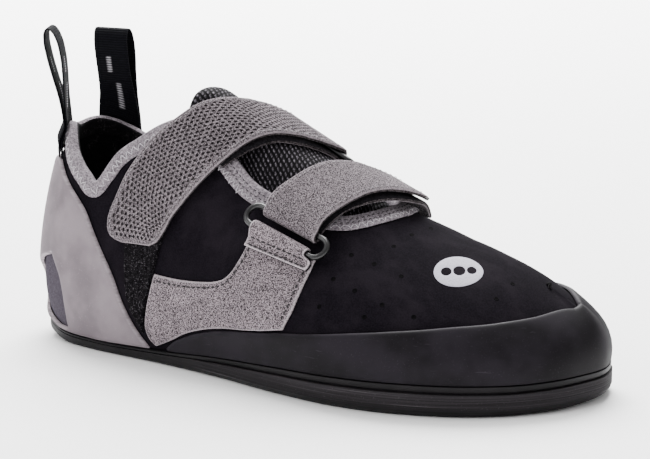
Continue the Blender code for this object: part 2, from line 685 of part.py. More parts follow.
def binding(surface, path, leg, beyond):
    """Tape folded over the upper's edge. path: (a, b) along the edge; beyond: off the edge, in (a, b)."""
    path = np.asarray(path, float)
    e = 1e-3
    a, b = path.T
    here = surface(a, b, 0.0)
    sa = (surface(a + e, b, 0.0) - surface(a - e, b, 0.0)) / (2 * e)
    sb = (surface(a, b + e, 0.0) - surface(a, b - e, 0.0)) / (2 * e)
    normal = np.cross(sa, sb)
    normal /= np.linalg.norm(normal, axis=-1, keepdims=True)
    tangent = np.gradient(here, axis=0)
    off_edge = np.cross(tangent, normal)
    off_edge /= np.linalg.norm(off_edge, axis=-1, keepdims=True)
    guide = sa * beyond[:, :1] + sb * beyond[:, 1:]
    off_edge *= np.sign((off_edge * guide).sum(-1, keepdims=True))
    down = np.array([np.linalg.lstsq(np.stack([p, q], -1), -o * leg, rcond=None)[0]
                     for p, q, o in zip(sa, sb, off_edge)])
    low_a, low_b = (path + down).T
    out_in = CURVE_GAP
    out_out = CURVE_GAP + BIND
    in_out = -WALL - GAP
    in_in = -WALL - GAP - BIND
    rim = GAP
    crown = GAP + BIND
    return np.stack([
        surface(low_a, low_b, out_in),
        surface(low_a, low_b, out_out),
        surface(a, b, out_out) + off_edge * (rim + 0.2 * BIND),
        surface(a, b, (out_out + in_in) / 2) + off_edge * crown,
        surface(a, b, in_in) + off_edge * (rim + 0.2 * BIND),
        surface(low_a, low_b, in_in),
        surface(low_a, low_b, in_out),
        surface(a, b, in_out) + off_edge * rim,
        surface(a, b, out_in) + off_edge * rim,
    ], 1)


def make_bindings(parts, mat):
    us = STATIONS[STATIONS <= 0.40]
    t = np.concatenate([-us[:0:-1], us])
    v = np.where(t < 0, curve(OPENING["u"], OPENING["med"], -t), curve(OPENING["u"], OPENING["lat"], t))
    up = np.tile([0.0, 1.0], (len(t), 1))
    tube(binding(skin, np.stack([t, v], -1), BIND_LEG, up)).solid("collar_binding", parts, mat)
    us = np.concatenate([[0.388], STATIONS[(STATIONS > 0.40) & (STATIONS <= THROAT_END)]])
    lat = curve(OPENING["u"], OPENING["lat"], us) - 1
    med = 1 - curve(OPENING["u"], OPENING["med"], us)
    path = np.concatenate([np.stack([us, lat], -1), np.stack([us, med], -1)[-2::-1]])
    inward = np.stack([np.full(len(path), -0.02), -np.sign(path[:, 1])], -1)
    inward[np.abs(path[:, 1]) < 1e-6] = (-1.0, 0.0)
    tube(binding(skin_uw, path, THROAT_LEG, inward)).solid("throat_binding", parts, mat)


# straps. Each row: the two edges in (u, w) and the height of the middle above the upper, in mm.
# They start at the free end and run to the ring, where the strap turns and comes back below.
UPPER_STRAP = table(
    "u_back w_back  u_front w_front lift",
    (0.266, -0.657, 0.319, -0.657, 2.7),
    (0.245, -0.645, 0.331, -0.646, 2.7),
    (0.234, -0.618, 0.338, -0.632, 2.7),
    (0.233, -0.578, 0.344, -0.614, 2.7),
    (0.242, -0.524, 0.350, -0.594, 2.8),
    (0.252, -0.465, 0.358, -0.562, 2.9),
    (0.268, -0.405, 0.378, -0.505, 3.1),
    (0.288, -0.346, 0.402, -0.435, 3.8),
    (0.325, -0.250, 0.440, -0.310, 4.6),
    (0.352, -0.165, 0.465, -0.210, 5.4),
    (0.378, -0.095, 0.490, -0.115, 5.9),
    (0.405, -0.030, 0.516, -0.038, 6.2),
    (0.427, 0.030, 0.538, 0.028, 6.6),
    (0.446, 0.085, 0.558, 0.082, 7.3),
    (0.460, 0.130, 0.573, 0.126, 8.2),
)
UPPER_UNDER = table(
    "u_back w_back  u_front w_front lift",
    (0.460, 0.130, 0.578, 0.126, 3.2),
    (0.446, 0.085, 0.570, 0.082, 4.0),
    (0.427, 0.030, 0.552, 0.028, 4.2),
    (0.405, -0.030, 0.530, -0.038, 4.1),
    (0.382, -0.095, 0.502, -0.115, 3.8),
    (0.368, -0.165, 0.476, -0.210, 3.1),
    (0.358, -0.240, 0.452, -0.290, 2.6),
    (0.352, -0.300, 0.432, -0.350, 2.4),
)
LOWER_STRAP = table(
    "u_back w_back  u_front w_front lift",
    (0.676, 0.150, 0.728, 0.108, 7.3),
    (0.662, 0.100, 0.724, 0.055, 8.2),
    (0.643, 0.050, 0.712, -0.005, 8.7),
    (0.617, -0.015, 0.693, -0.070, 9.0),
    (0.595, -0.095, 0.676, -0.145, 8.9),
    (0.578, -0.182, 0.663, -0.217, 8.5),
    (0.564, -0.263, 0.652, -0.279, 8.2),
    (0.550, -0.328, 0.641, -0.338, 8.0),
    (0.542, -0.378, 0.635, -0.388, 7.9),
    (0.541, -0.416, 0.634, -0.428, 7.8),
)
LOWER_UNDER = table(
    "u_back w_back  u_front w_front lift",
    (0.541, -0.416, 0.634, -0.428, 3.0),
    (0.542, -0.378, 0.636, -0.388, 3.3),
    (0.550, -0.328, 0.643, -0.338, 3.9),
    (0.562, -0.255, 0.655, -0.272, 4.7),
    (0.575, -0.175, 0.669, -0.215, 5.6),
    (0.595, -0.095, 0.686, -0.145, 6.1),
    (0.617, -0.015, 0.705, -0.070, 6.2),
    (0.640, 0.050, 0.722, -0.005, 5.9),
    (0.653, 0.115, 0.727, 0.060, 5.3),
    (0.655, 0.190, 0.720, 0.150, 4.4),
    (0.651, 0.270, 0.710, 0.240, 3.4),
    (0.646, 0.350, 0.700, 0.320, 2.7),
)


def band_rows(rows):
    across = np.linspace(0, 1, 4)[None, :]
    u = rows["u_back"][:, None] * (1 - across) + rows["u_front"][:, None] * across
    w = rows["w_back"][:, None] * (1 - across) + rows["w_front"][:, None] * across
    return skin_uw(u, w, rows["lift"][:, None] * 1e-3 + 0 * u)


def strap(over, under):
    """The upper layer, a half turn round the ring's bar, and the layer below."""
    top = band_rows(over)
    low = band_rows(under)
    share = np.linspace(0, 1, top.shape[1])[:, None]
    for row in (top[-1], low[0]):
        straight = row[0] * (1 - share) + row[-1] * share
        row[:] = straight + (row - straight).mean(0)
    middle = (top[-1] + low[0]) / 2
    away = top[-1] - top[-2] + low[0] - low[1]
    spread = top[-1] - low[0]
    radius = np.linalg.norm(spread, axis=-1, keepdims=True) / 2
    spread /= 2 * radius
    bar = (middle[-1] - middle[0]) / np.linalg.norm(middle[-1] - middle[0])
    away -= (away @ bar)[:, None] * bar
    away -= (away * spread).sum(-1, keepdims=True) * spread
    away /= np.linalg.norm(away, axis=-1, keepdims=True)
    turn = [middle + radius * (spread * math.cos(a) + away * math.sin(a))
            for a in np.radians([30, 60, 90, 120, 150])]
    return np.concatenate([top, np.array(turn), low]), middle, away, spread


def make_straps(parts, suede):
    made = {}
    for name, over, under in (("upper_strap", UPPER_STRAP, UPPER_UNDER),
                              ("lower_strap", LOWER_STRAP, LOWER_UNDER)):
        rows, middle, away, spread = strap(over, under)
        ribbon(rows, STRAP).solid(name, parts, suede)
        made[name] = (middle, away, spread)
    return made


# where the ring's lower bar rests over the upper, and the line where the tab is sewn down, in (u, w)
RING_REST = {"lateral": (0.583, -0.505), "medial": (0.522, 0.215)}
TAB_END = {"lateral": (0.512, -0.568, 0.625, -0.572), "medial": (0.475, 0.500, 0.590, 0.500)}
TAB_STEPS = {"lateral": (0.55,), "medial": (0.3, 0.5, 0.75)}     # rows between them


def ring_frame(seat, rest):
    """Middle of the ring, its long axis, the way to the sole and the way out."""
    middle, _, spread = seat
    along = middle[-1] - middle[0]
    length = np.linalg.norm(along)
    along /= length
    down = skin_uw(*rest, BAR_HEIGHT) - middle.mean(0)
    down -= down.dot(along) * along
    down /= np.linalg.norm(down)
    outwards = np.cross(along, down)
    outwards *= np.sign(outwards.dot(spread.mean(0)))
    centre = middle.mean(0) + down * (RING_WIDTH - WIRE) / 2
    return centre, along, down, outwards, length


def make_ring(side, seat, parts, mat):
    """A long ring of round wire: two bars joined by half circles."""
    centre, along, down, outwards, length = ring_frame(seat, RING_REST[side])
    radius = (RING_WIDTH - WIRE) / 2
    straight = length / 2 + RING_SPARE
    path = []
    for end in (1, -1):
        for a in np.radians(np.linspace(-90, 90, 7)) * end:
            path.append(centre + along * end * (straight + radius * math.cos(a)) + down * radius * math.sin(a))
    path = np.array(path)
    heading = np.roll(path, -1, 0) - np.roll(path, 1, 0)
    heading /= np.linalg.norm(heading, axis=1, keepdims=True)
    sections = []
    for p, h in zip(path, heading):
        across = np.cross(h, outwards)
        ring = [p + WIRE / 2 * (outwards * math.cos(a) + across * math.sin(a))
                for a in np.linspace(0, 2 * math.pi, 8, endpoint=False)]
        sections.append(ring)
    return tube(np.array(sections), wrap=True).solid(side + "_ring", parts, mat)


def tab_rows(side, seat, count, turns):
    """The tab's middle: from its sewn inner end, round the ring's lower bar, to its sewn outer end."""
    centre, along, down, outwards, length = ring_frame(seat, RING_REST[side])
    bar = centre + down * (RING_WIDTH - WIRE) / 2
    radius = WIRE / 2 + GAP + TAB / 2
    c = np.linspace(0, 1, count)
    u_back, w_back, u_front, w_front = TAB_END[side]
    u, w = u_back * (1 - c) + u_front * c, w_back * (1 - c) + w_front * c
    low = CURVE_GAP + PANEL + CURVE_GAP + TAB / 2
    low_end = skin_uw(u, w, low)
    rest_u, rest_w = RING_REST[side]
    between = []
    for share in TAB_STEPS[side]:
        spot = (rest_u + (c - 0.5) * (u_front - u_back)) * (1 - share) + u * share
        between.append((spot, rest_w * (1 - share) + w * share, 0.0010 * (1 - share)))
    axis = bar + along * (c[:, None] - 0.5) * (length + 2 * TAB_SPARE)
    way = low_end - axis
    way -= (way @ along)[:, None] * along
    way /= np.linalg.norm(way, axis=1, keepdims=True)
    out = np.cross(along, way)
    out *= np.sign(out @ outwards)[:, None]
    top = TAB + CURVE_GAP
    rows = [low_end] + [skin_uw(a, b, low + rise) for a, b, rise in reversed(between)]
    rows += [axis - way * radius * math.sin(a) - out * radius * math.cos(a) for a in np.radians(turns)]
    rows += [skin_uw(a, b, low + top + 1.6 * rise) for a, b, rise in between] + [skin_uw(u, w, low + top)]
    return np.array(rows)


def make_tab(side, seat, parts, mat):
    """The anchor panel's end, turned round the ring's lower bar and sewn down."""
    rows = tab_rows(side, seat, 4, (0, 45, 90, 135, 180))
    return ribbon(rows, TAB).solid(side + "_ring_tab", parts, mat)


def make_hardware(seats, parts, metal, suede):
    for side, strap in (("lateral", "lower_strap"), ("medial", "upper_strap")):
        make_ring(side, seats[strap], parts, metal)
        make_tab(side, seats[strap], parts, suede)


# pull loops: t of the middle, height above the collar, the way the loop faces in degrees from
# straight ahead, and how far its top leans that way and towards the heel
PULL_LOOPS = {
    "pull_loop_lateral": (0.040, 0.0420, 213.0, 0.0062, 0.0000),
    "pull_loop_medial": (-0.092, 0.0405, 95.0, 0.0020, 0.0045),
}
LOOP_ROWS = table(       # rows sewn to the heel: v below the collar, share of the binding under them
    "below  over",
    (0.095, 0.00), (0.074, 0.35), (0.056, 1.00), (0.028, 1.00), (0.000, 1.00),
)
LOOP_FREE = table(       # rows of one leg above the collar: height and opening as shares
    "rise  open",
    (0.10, 0.10), (0.28, 0.35), (0.50, 0.74), (0.72, 1.00), (0.88, 0.92), (0.965, 0.58), (0.995, 0.22),
)


def make_pull_loop(name, sizes, parts, mat):
    """Webbing folded to a teardrop: both legs are sewn to the outside of the heel."""
    t_mid, height, facing, lean_out, lean_back = sizes
    e = 1e-3
    run = np.linalg.norm(skin(t_mid + e, 0.6) - skin(t_mid - e, 0.6)) / (2 * e)
    across = np.linspace(-0.5, 0.5, 5)[:, None] * LOOP_WIDTH
    t = t_mid + across[:, 0] / run
    low = CURVE_GAP + WEBBING / 2 + LOOP_ROWS["over"] * (BIND + HEEL_GAP)
    half = (WEBBING + GAP) / 2
    collar = np.where(t < 0, curve(OPENING["u"], OPENING["med"], -t), curve(OPENING["u"], OPENING["lat"], t))
    sewn = collar[None, :] - LOOP_ROWS["below"][:, None]
    seat = skin(t, sewn[-1], low[-1] + half)
    _, normal = outline(t)
    normal = np.concatenate([normal, 0 * normal[:, :1]], -1)
    out = np.array([math.cos(math.radians(facing)), math.sin(math.radians(facing)), 0.0])
    width = np.array([-out[1], out[0], 0.0])
    width *= np.sign((seat[-1] - seat[0]).dot(width))
    straight = seat.mean(0) + across * width

    def free(rise, spread):
        blend = min(1.0, rise / 0.5)
        blend = blend * blend * (3 - 2 * blend)
        middle = seat * (1 - blend) + straight * blend
        way = normal * (1 - blend) + out * blend
        lean = rise**1.5 * (out * lean_out + np.array([-lean_back, 0.0, 0.0]))
        return middle + way * spread + lean + np.array([0.0, 0.0, height * rise])

    rows = [skin(t, v, off + 2 * half) for v, off in zip(sewn, low)]
    spreads = np.maximum(LOOP_FREE["open"] * LOOP_OPEN, half)
    rows += [free(rise, spread) for rise, spread in zip(LOOP_FREE["rise"], spreads)]
    rows += [free(rise, -spread) for rise, spread in zip(LOOP_FREE["rise"][::-1], spreads[::-1])]
    rows += [skin(t, v, off) for v, off in zip(sewn[::-1], low[::-1])]
    return ribbon(np.array(rows), WEBBING).solid(name, parts, mat)


def build():
    parts = start_scene()
    rubber = finish("rubber_black", (0.022, 0.020, 0.023), 0.55)
    grey_rubber = finish("rubber_grey", (0.275, 0.250, 0.265), 0.50)
    suede = finish("suede_grey", (0.290, 0.255, 0.280), 0.90)
    black = finish("microsuede_black", (0.014, 0.012, 0.014), 0.92)
    pile = finish("pile_black", (0.012, 0.011, 0.013), 0.95)
    tape = finish("tape_grey", (0.270, 0.245, 0.270), 0.85)
    mesh = finish("mesh_black", (0.020, 0.019, 0.021), 0.88)
    metal = finish("ring_black", (0.020, 0.020, 0.022), 0.35, 0.6)
    web = finish("webbing_black", (0.006, 0.006, 0.007), 0.80)
    board = finish("insole_grey", (0.120, 0.110, 0.105), 0.90)
    make_outsole(parts, rubber)
    make_insole(parts, board)
    make_upper(parts, black)
    make_tongue(parts, mesh)
    make_toe_rand(parts, rubber)
    make_heel_rand(parts, grey_rubber)
    make_bindings(parts, tape)
    make_panels(parts, suede, pile)
    seats = make_straps(parts, suede)
    make_hardware(seats, parts, metal, suede)
    for name, sizes in PULL_LOOPS.items():
        make_pull_loop(name, sizes, parts, web)


build()
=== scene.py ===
"""Climbing shoe for the right foot: its looks.

Metres. +X runs to the toe, +Y to the inner (medial) side, +Z up.
The outside of the upper is one surface, read at (t, v) or at (u, w):
  u  0 at the back of the heel, 1 at the tip of the toe
  t  the same along the lateral side, and 2 - u on the way back along the medial side
  v  0 on the feather line, where upper and sole meet, and 1 on the ridge of the instep
  w  v - 1 on the lateral side and 1 - v on the medial side, so that 0 is the ridge
Every piece is a fine mesh on this surface. A point also carries what its material reads:
  place  millimetres along and across the piece
  rim    millimetres from the piece's edge
  tint   a share between two looks of one material
"""

import math

import bmesh
import bpy
import numpy as np
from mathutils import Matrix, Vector
from mathutils.geometry import delaunay_2d_cdt


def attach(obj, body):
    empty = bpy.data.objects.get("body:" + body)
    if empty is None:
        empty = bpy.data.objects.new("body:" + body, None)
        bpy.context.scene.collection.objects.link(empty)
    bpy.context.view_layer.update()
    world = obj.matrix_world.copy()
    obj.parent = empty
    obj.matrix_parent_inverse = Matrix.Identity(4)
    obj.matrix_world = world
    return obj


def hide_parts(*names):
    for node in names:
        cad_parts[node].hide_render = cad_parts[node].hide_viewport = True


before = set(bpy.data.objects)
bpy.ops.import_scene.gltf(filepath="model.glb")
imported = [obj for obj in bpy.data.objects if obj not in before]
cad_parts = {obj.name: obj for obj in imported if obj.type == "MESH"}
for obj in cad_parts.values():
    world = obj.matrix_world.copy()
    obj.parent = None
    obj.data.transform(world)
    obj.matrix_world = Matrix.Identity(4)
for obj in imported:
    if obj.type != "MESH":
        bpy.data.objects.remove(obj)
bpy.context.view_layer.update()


# driving dimensions
LAST_LENGTH = 0.2575     # feather line, heel to toe
BALL_WIDTH = 0.090       # feather line across the ball
CROWN_HEIGHT = 0.115     # floor to the ridge above the heel
SOLE_HEIGHT = 0.013      # floor to the feather line at the ball
HEEL_CENTRE = 0.175      # share of the length, from the back to the middle of the heel's flat spot

# thicknesses and fits
GAP = 0.0003             # between pieces that are glued or sewn together
RAND_FOOT = 0.0001       # lift of the rands' lower edge, for the facets of the sole's rim
CURVE_GAP = 0.0005       # the same where a facetted shell lies on a tight curve
HEEL_GAP = 0.0009        # round the back of the heel, the tightest curve
WALL = 0.0018            # leather and lining of the upper
RAND = 0.0018            # rubber rand
PANEL = 0.0011           # suede panel or fastener strip
BIND = 0.0009            # binding tape
BIND_LEG = 0.0058        # how far the binding reaches down from the edge
THROAT_LEG = 0.0070      # the same around the throat
MARGIN = 0.0100          # lasting margin, turned in under the foot
INSOLE = 0.0020
STRAP = 0.0018
WEBBING = 0.0009
TONGUE = 0.0036
TAB = 0.0012

# sole
BAND_PROUD = 0.0005      # the thick front sole stands out this far from the rand
BEVEL_SHARE = 0.27       # of the side's height
BAND_SHARE = 0.74

# straps and hardware
WIRE = 0.0025            # ring wire
RING_WIDTH = 0.0114      # across the ring, over the wire
RING_SPARE = 0.0022      # each bar is this much longer than half the strap's width
TAB_SPARE = 0.0006       # the tab is this much wider than the strap, on each side
BAR_HEIGHT = 0.0052      # middle of the ring's lower bar over the upper
LOOP_WIDTH = 0.0175      # pull loop webbing
LOOP_OPEN = 0.0030       # half the opening between its two legs

SHEET_SCALE = np.array([0.290, 0.115])   # metres for one unit of t and of v, for even triangles

# sizes of the fine meshes
SEWN_FOOT = 0.0004       # underside of a sewn piece over the upper
PANEL_FACE = 0.0012      # a panel as it shows, with its nap
STITCH_LIFT = 0.00004    # a stitch over the cloth that it is sewn through
TAPE_STITCH_LIFT = 0.00005   # the same over the binding tape
STITCH_SINK = 0.0003     # how deep a stitch dips in at both ends
STITCH_FLAT = 0.8        # its height as a share of its width
STRAP_FACE = 0.0008      # suede of a strap, over its backing
LAYER_GAP = 0.00004      # between the two
PUNCH = 0.00079          # radius of the upper strap's punched holes
PUNCH_STEP = 0.00199     # between their rows
PUNCH_PITCH = 0.0023     # and within a row
VENT_HOLE = 0.00088      # radius of the vent holes
PLAIN_RIM = 9.0          # the rim that a material reads far from any edge, in millimetres
LINING_GAP = 0.0003      # between the lining and the tape's inner leg


def table(names, *rows):
    """Columns of a table, by name."""
    return {name: np.array(column, float) for name, column in zip(names.split(), zip(*rows))}


# x is a share of the length, lat, med, ridge_y, bulge, rise and shoulders of the ball width,
# ridge_z of the crown height, feather and lifts of the sole height
LAST = table(
    "u     x      lat    med    feather ridge_x ridge_y ridge_z bulge rise   sh_lat sh_med",
    (0.00, 0.000, 0.000, 0.000, 0.92,   0.066,  0.000,  0.957,  0.158, 0.190, 0.100, 0.100),
    (0.04, 0.016, -0.165, 0.155, 0.73,  0.074,  0.000,  0.974,  0.152, 0.210, 0.130, 0.130),
    (0.10, 0.062, -0.278, 0.255, 0.50,  0.106,  0.000,  0.991,  0.122, 0.290, 0.200, 0.200),
    (0.20, 0.152, -0.344, 0.300, 0.385, 0.190,  0.000,  1.000,  0.09, 0.355, 0.267, 0.267),
    (0.32, 0.291, -0.378, 0.278, 0.46,  0.291,  0.011,  0.974,  0.08, 0.378, 0.267, 0.267),
    (0.44, 0.431, -0.433, 0.256, 0.69,  0.400,  0.033,  0.878,  0.09, 0.355, 0.267, 0.267),
    (0.56, 0.563, -0.511, 0.322, 0.88,  0.509,  0.056,  0.748,  0.09, 0.311, 0.289, 0.267),
    (0.66, 0.672, -0.544, 0.422, 0.96,  0.610,  0.089,  0.643,  0.08, 0.267, 0.333, 0.267),
    (0.76, 0.781, -0.500, 0.500, 1.00,  0.707,  0.122,  0.558,  0.07, 0.244, 0.333, 0.244),
    (0.85, 0.882, -0.367, 0.511, 1.00,  0.792,  0.156,  0.494,  0.055, 0.222, 0.267, 0.200),
    (0.92, 0.948, -0.189, 0.444, 1.00,  0.854,  0.178,  0.443,  0.033, 0.200, 0.200, 0.178),
    (0.97, 0.986, 0.000, 0.333, 1.04,   0.893,  0.189,  0.396,  0.028, 0.190, 0.167, 0.167),
    (1.00, 1.000, 0.178, 0.178, 1.04,   0.909,  0.200,  0.374,  0.022, 0.190, 0.155, 0.155),
)

# the fan of directions in which the wall meets the ridge, in degrees from straight ahead
FAN = table(
    "u     angle",
    (0.00, 180), (0.04, 150), (0.10, 118), (0.20, 92), (0.66, 90), (0.76, 84),
    (0.85, 66), (0.92, 42), (0.97, 18), (1.00, 0),
)
TOE_SLOPE = -0.45        # of the ridge, where it runs out over the toes

# how far the underside lifts off the floor, as shares of the sole height
UNDERSIDE = table(
    "u     lat    med",
    (0.00, 0.58, 0.58), (0.04, 0.34, 0.34), (0.075, 0.17, 0.17), (0.11, 0.06, 0.06),
    (0.14, 0.00, 0.00), (0.335, 0.00, 0.00), (0.40, 0.00, 0.14), (0.455, 0.00, 0.20),
    (0.525, 0.00, 0.10), (0.60, 0.00, 0.00), (0.90, 0.00, 0.00), (0.95, 0.03, 0.03), (1.00, 0.12, 0.12),
)

# how far the middle of the bed lies below the feather line, as a share of the sole height
BED = table(
    "u     dip",
    (0.00, 0.00), (0.10, 0.04), (0.20, 0.07), (0.32, 0.10), (0.44, 0.24), (0.56, 0.38), (0.66, 0.42),
    (0.85, 0.42), (0.92, 0.30), (0.97, 0.12), (1.00, 0.00),
)
MARGIN_DIP = 0.40        # of that dip, reached at the inner edge of the margin

# edge of the collar and throat: v on each side
OPENING = table(
    "u      lat    med",
    (0.000, 0.698, 0.698), (0.060, 0.690, 0.698), (0.115, 0.592, 0.645), (0.155, 0.532, 0.595),
    (0.185, 0.503, 0.570), (0.215, 0.590, 0.610), (0.255, 0.655, 0.660), (0.295, 0.722, 0.722),
    (0.335, 0.770, 0.770), (0.375, 0.778, 0.778), (0.415, 0.742, 0.742), (0.455, 0.692, 0.692),
    (0.490, 0.660, 0.665), (0.525, 0.655, 0.665), (0.560, 0.668, 0.675), (0.600, 0.686, 0.695),
    (0.635, 0.712, 0.720), (0.660, 0.752, 0.760), (0.682, 0.830, 0.840), (0.696, 0.915, 0.920),
    (0.703, 1.000, 1.000),
)
THROAT_END = 0.703

# near the toe the ridge's slope is read here and runs straight in between
TOE_STATIONS = np.array([0.925, 0.95, 0.97, 0.985])


def slopes(xs, ys):
    """Slope at each inner point of a curve, from the parabola through it and its neighbours."""
    h = np.diff(xs)
    s = np.diff(ys) / h
    return (s[:-1] * h[1:] + s[1:] * h[:-1]) / (h[1:] + h[:-1])


def hermite(xs, ys, ds, q):
    k = np.clip(np.searchsorted(xs, q, side="right") - 1, 0, len(xs) - 2)
    h = xs[k + 1] - xs[k]
    r = (q - xs[k]) / h
    return ((2 * r**3 - 3 * r**2 + 1) * ys[k] + (r**3 - 2 * r**2 + r) * h * ds[k]
            + (3 * r**2 - 2 * r**3) * ys[k + 1] + (r**3 - r**2) * h * ds[k + 1])


def curve(xs, ys, q):
    """A smooth curve through the points (xs, ys), read at q."""
    xs = np.asarray(xs, float)
    ys = np.asarray(ys, float)
    s = np.diff(ys) / np.diff(xs)
    ds = np.concatenate([s[:1], slopes(xs, ys), s[-1:]])
    return hermite(xs, ys, ds, np.clip(np.asarray(q, float), xs[0], xs[-1]))


def around(lat, med, t):
    """A column of LAST read at t, smooth all the way around the shoe."""
    us = LAST["u"]
    xs = np.concatenate([us, 2 - us[-2:0:-1]])
    ys = np.concatenate([LAST[lat], LAST[med][-2:0:-1]])
    xs = np.concatenate([[xs[-1] - 2], xs, [2.0, 2 + xs[1]]])
    ys = np.concatenate([[ys[-1]], ys, [ys[0], ys[1]]])
    return hermite(xs[1:-1], ys[1:-1], slopes(xs, ys), np.mod(t, 2.0))


def fold_u(t):
    """u and side (-1 lateral, 1 medial) at t."""
    t = np.mod(t, 2.0)
    return np.where(t > 1, 2 - t, t), np.where(t > 1, 1.0, -1.0)


def outline(t, out=0.0):
    """The feather line seen from above, moved outwards by out."""
    t = np.asarray(t, float)

    def at(q):
        x = around("x", "x", q) * LAST_LENGTH - HEEL_CENTRE * LAST_LENGTH
        return np.stack([x, around("lat", "med", q) * BALL_WIDTH], -1)

    step = at(t + 1e-3) - at(t - 1e-3)
    normal = np.stack([step[..., 1], -step[..., 0]], -1)
    normal /= np.linalg.norm(normal, axis=-1, keepdims=True)
    return at(t) + normal * np.asarray(out)[..., None], normal


def feather(t):
    """Height of the feather line."""
    return around("feather", "feather", t) * SOLE_HEIGHT


def bed_dip(u):
    return np.interp(u, BED["u"], BED["dip"]) * SOLE_HEIGHT


def margin_height(t):
    """Height of the lasting margin's inner edge, on its lower face."""
    return feather(t) - MARGIN_DIP * bed_dip(fold_u(t)[0])


def bed(station, share):
    """Height of the bed across the shoe, inside the margin."""
    hollow = MARGIN_DIP + (1 - MARGIN_DIP) * (1 - (2 * share - 1)**4)
    return feather(station) + WALL - hollow * bed_dip(station)


def underside(t):
    u, side = fold_u(t)
    lat = np.interp(u, UNDERSIDE["u"], UNDERSIDE["lat"])
    med = np.interp(u, UNDERSIDE["u"], UNDERSIDE["med"])
    return np.where(side < 0, lat, med) * SOLE_HEIGHT


def raw_skin(t, v):
    """The outside of the upper: a cubic from the feather line up and over to the ridge."""
    t, v = np.broadcast_arrays(np.asarray(t, float), np.asarray(v, float))
    u, side = fold_u(t)
    plan, normal = outline(t)
    foot = np.concatenate([plan, feather(t)[..., None]], -1)
    bulge = around("bulge", "bulge", t)[..., None] * BALL_WIDTH
    rise = around("rise", "rise", t)[..., None] * BALL_WIDTH
    low = foot + np.concatenate([normal * bulge, rise], -1)

    def ridge(q):
        return np.stack([(around("ridge_x", "ridge_x", q) - HEEL_CENTRE) * LAST_LENGTH,
                         around("ridge_y", "ridge_y", q) * BALL_WIDTH,
                         around("ridge_z", "ridge_z", q) * CROWN_HEIGHT], -1)

    top = ridge(t)
    def slope(q):
        run = ridge(q + 1e-3) - ridge(q - 1e-3)
        return run[..., 2] / np.where(np.abs(run[..., 0]) < 1e-9, 1e-9, run[..., 0])

    tilt = np.where(u > 0.3, slope(u), 0)
    by_toe = np.interp(u, [*TOE_STATIONS, 1.0], [*slope(TOE_STATIONS), TOE_SLOPE])
    tilt = np.where(u > TOE_STATIONS[0], by_toe, tilt)
    angle = np.radians(np.interp(u, FAN["u"], FAN["angle"]))
    shoulder = around("sh_lat", "sh_med", t) * BALL_WIDTH
    ahead = np.cos(angle) * shoulder
    high = top + np.stack([ahead, side * np.sin(angle) * shoulder, tilt * ahead], -1)
    v = v[..., None]
    return (1 - v)**3 * foot + 3 * (1 - v)**2 * v * low + 3 * (1 - v) * v**2 * high + v**3 * top


def skin(t, v, off=0.0):
    """A point of the upper's outside, moved outwards by off."""
    t, v, off = np.broadcast_arrays(np.asarray(t, float), np.asarray(v, float), np.asarray(off, float))
    e = 2e-3
    vn = np.clip(v, e, 0.985)
    along = raw_skin(t + e, vn) - raw_skin(t - e, vn)
    upward = raw_skin(t, vn + e) - raw_skin(t, vn - e)
    normal = np.cross(along, upward)
    normal /= np.linalg.norm(normal, axis=-1, keepdims=True)
    return raw_skin(t, v) + normal * (off + relief(t, v))[..., None]


def rand_skin(t, v, off):
    """The skin for a rand, which stands on the sole's flange and goes no lower."""
    points = skin(t, v, off)
    t, _ = np.broadcast_arrays(np.asarray(t, float), np.asarray(v, float))
    points[..., 2] = np.maximum(points[..., 2], feather(t) + RAND_FOOT)
    return points


def skin_uw(u, w, off=0.0):
    """The same read at (u, w), so that it runs over the ridge."""
    u, w, off = np.broadcast_arrays(np.asarray(u, float), np.asarray(w, float), np.asarray(off, float))
    near = 0.03
    lat = skin(u, np.clip(1 + w, 0, 1), off)
    med = skin(2 - u, np.clip(1 - w, 0, 1), off)
    share = np.clip((w + near) / (2 * near), 0, 1)[..., None]
    lat_only = skin(u, np.clip(1 - np.abs(w), 0, 1), off)
    med_only = skin(2 - u, np.clip(1 - np.abs(w), 0, 1), off)
    mid = lat * (1 - share) + med * share
    out = np.where(w[..., None] <= -near, lat_only, med_only)
    return np.where(np.abs(w)[..., None] < near, mid, out)


def loop_of(points, count):
    """A closed outline: stretches between sharp corners are smooth. points: (a, b, corner)."""
    corners = [k for k, p in enumerate(points) if p[2]]
    out = []
    for n, k in enumerate(corners):
        end = corners[(n + 1) % len(corners)]
        if end <= k:
            end += len(points)
        run = np.array([points[m % len(points)][:2] for m in range(k, end + 1)], float)
        scaled = run * SHEET_SCALE
        s = np.concatenate([[0], np.cumsum(np.linalg.norm(np.diff(scaled, axis=0), axis=1))])
        steps = max(1, round(s[-1] / count))
        q = np.linspace(0, s[-1], steps + 1)[:-1]
        if len(run) == 2:
            a = np.interp(q, s, run[:, 0])
            b = np.interp(q, s, run[:, 1])
        else:
            a = curve(s, run[:, 0], q)
            b = curve(s, run[:, 1], q)
        out.extend(zip(a, b))
    return np.array(out)


def inside(polygon, points):
    x, y = points[:, 0], points[:, 1]
    hit = np.zeros(len(points), bool)
    for (x0, y0), (x1, y1) in zip(polygon, np.roll(polygon, -1, axis=0)):
        crosses = (y0 > y) != (y1 > y)
        with np.errstate(divide="ignore", invalid="ignore"):
            hit ^= crosses & (x < (x1 - x0) * (y - y0) / (y1 - y0) + x0)
    return hit


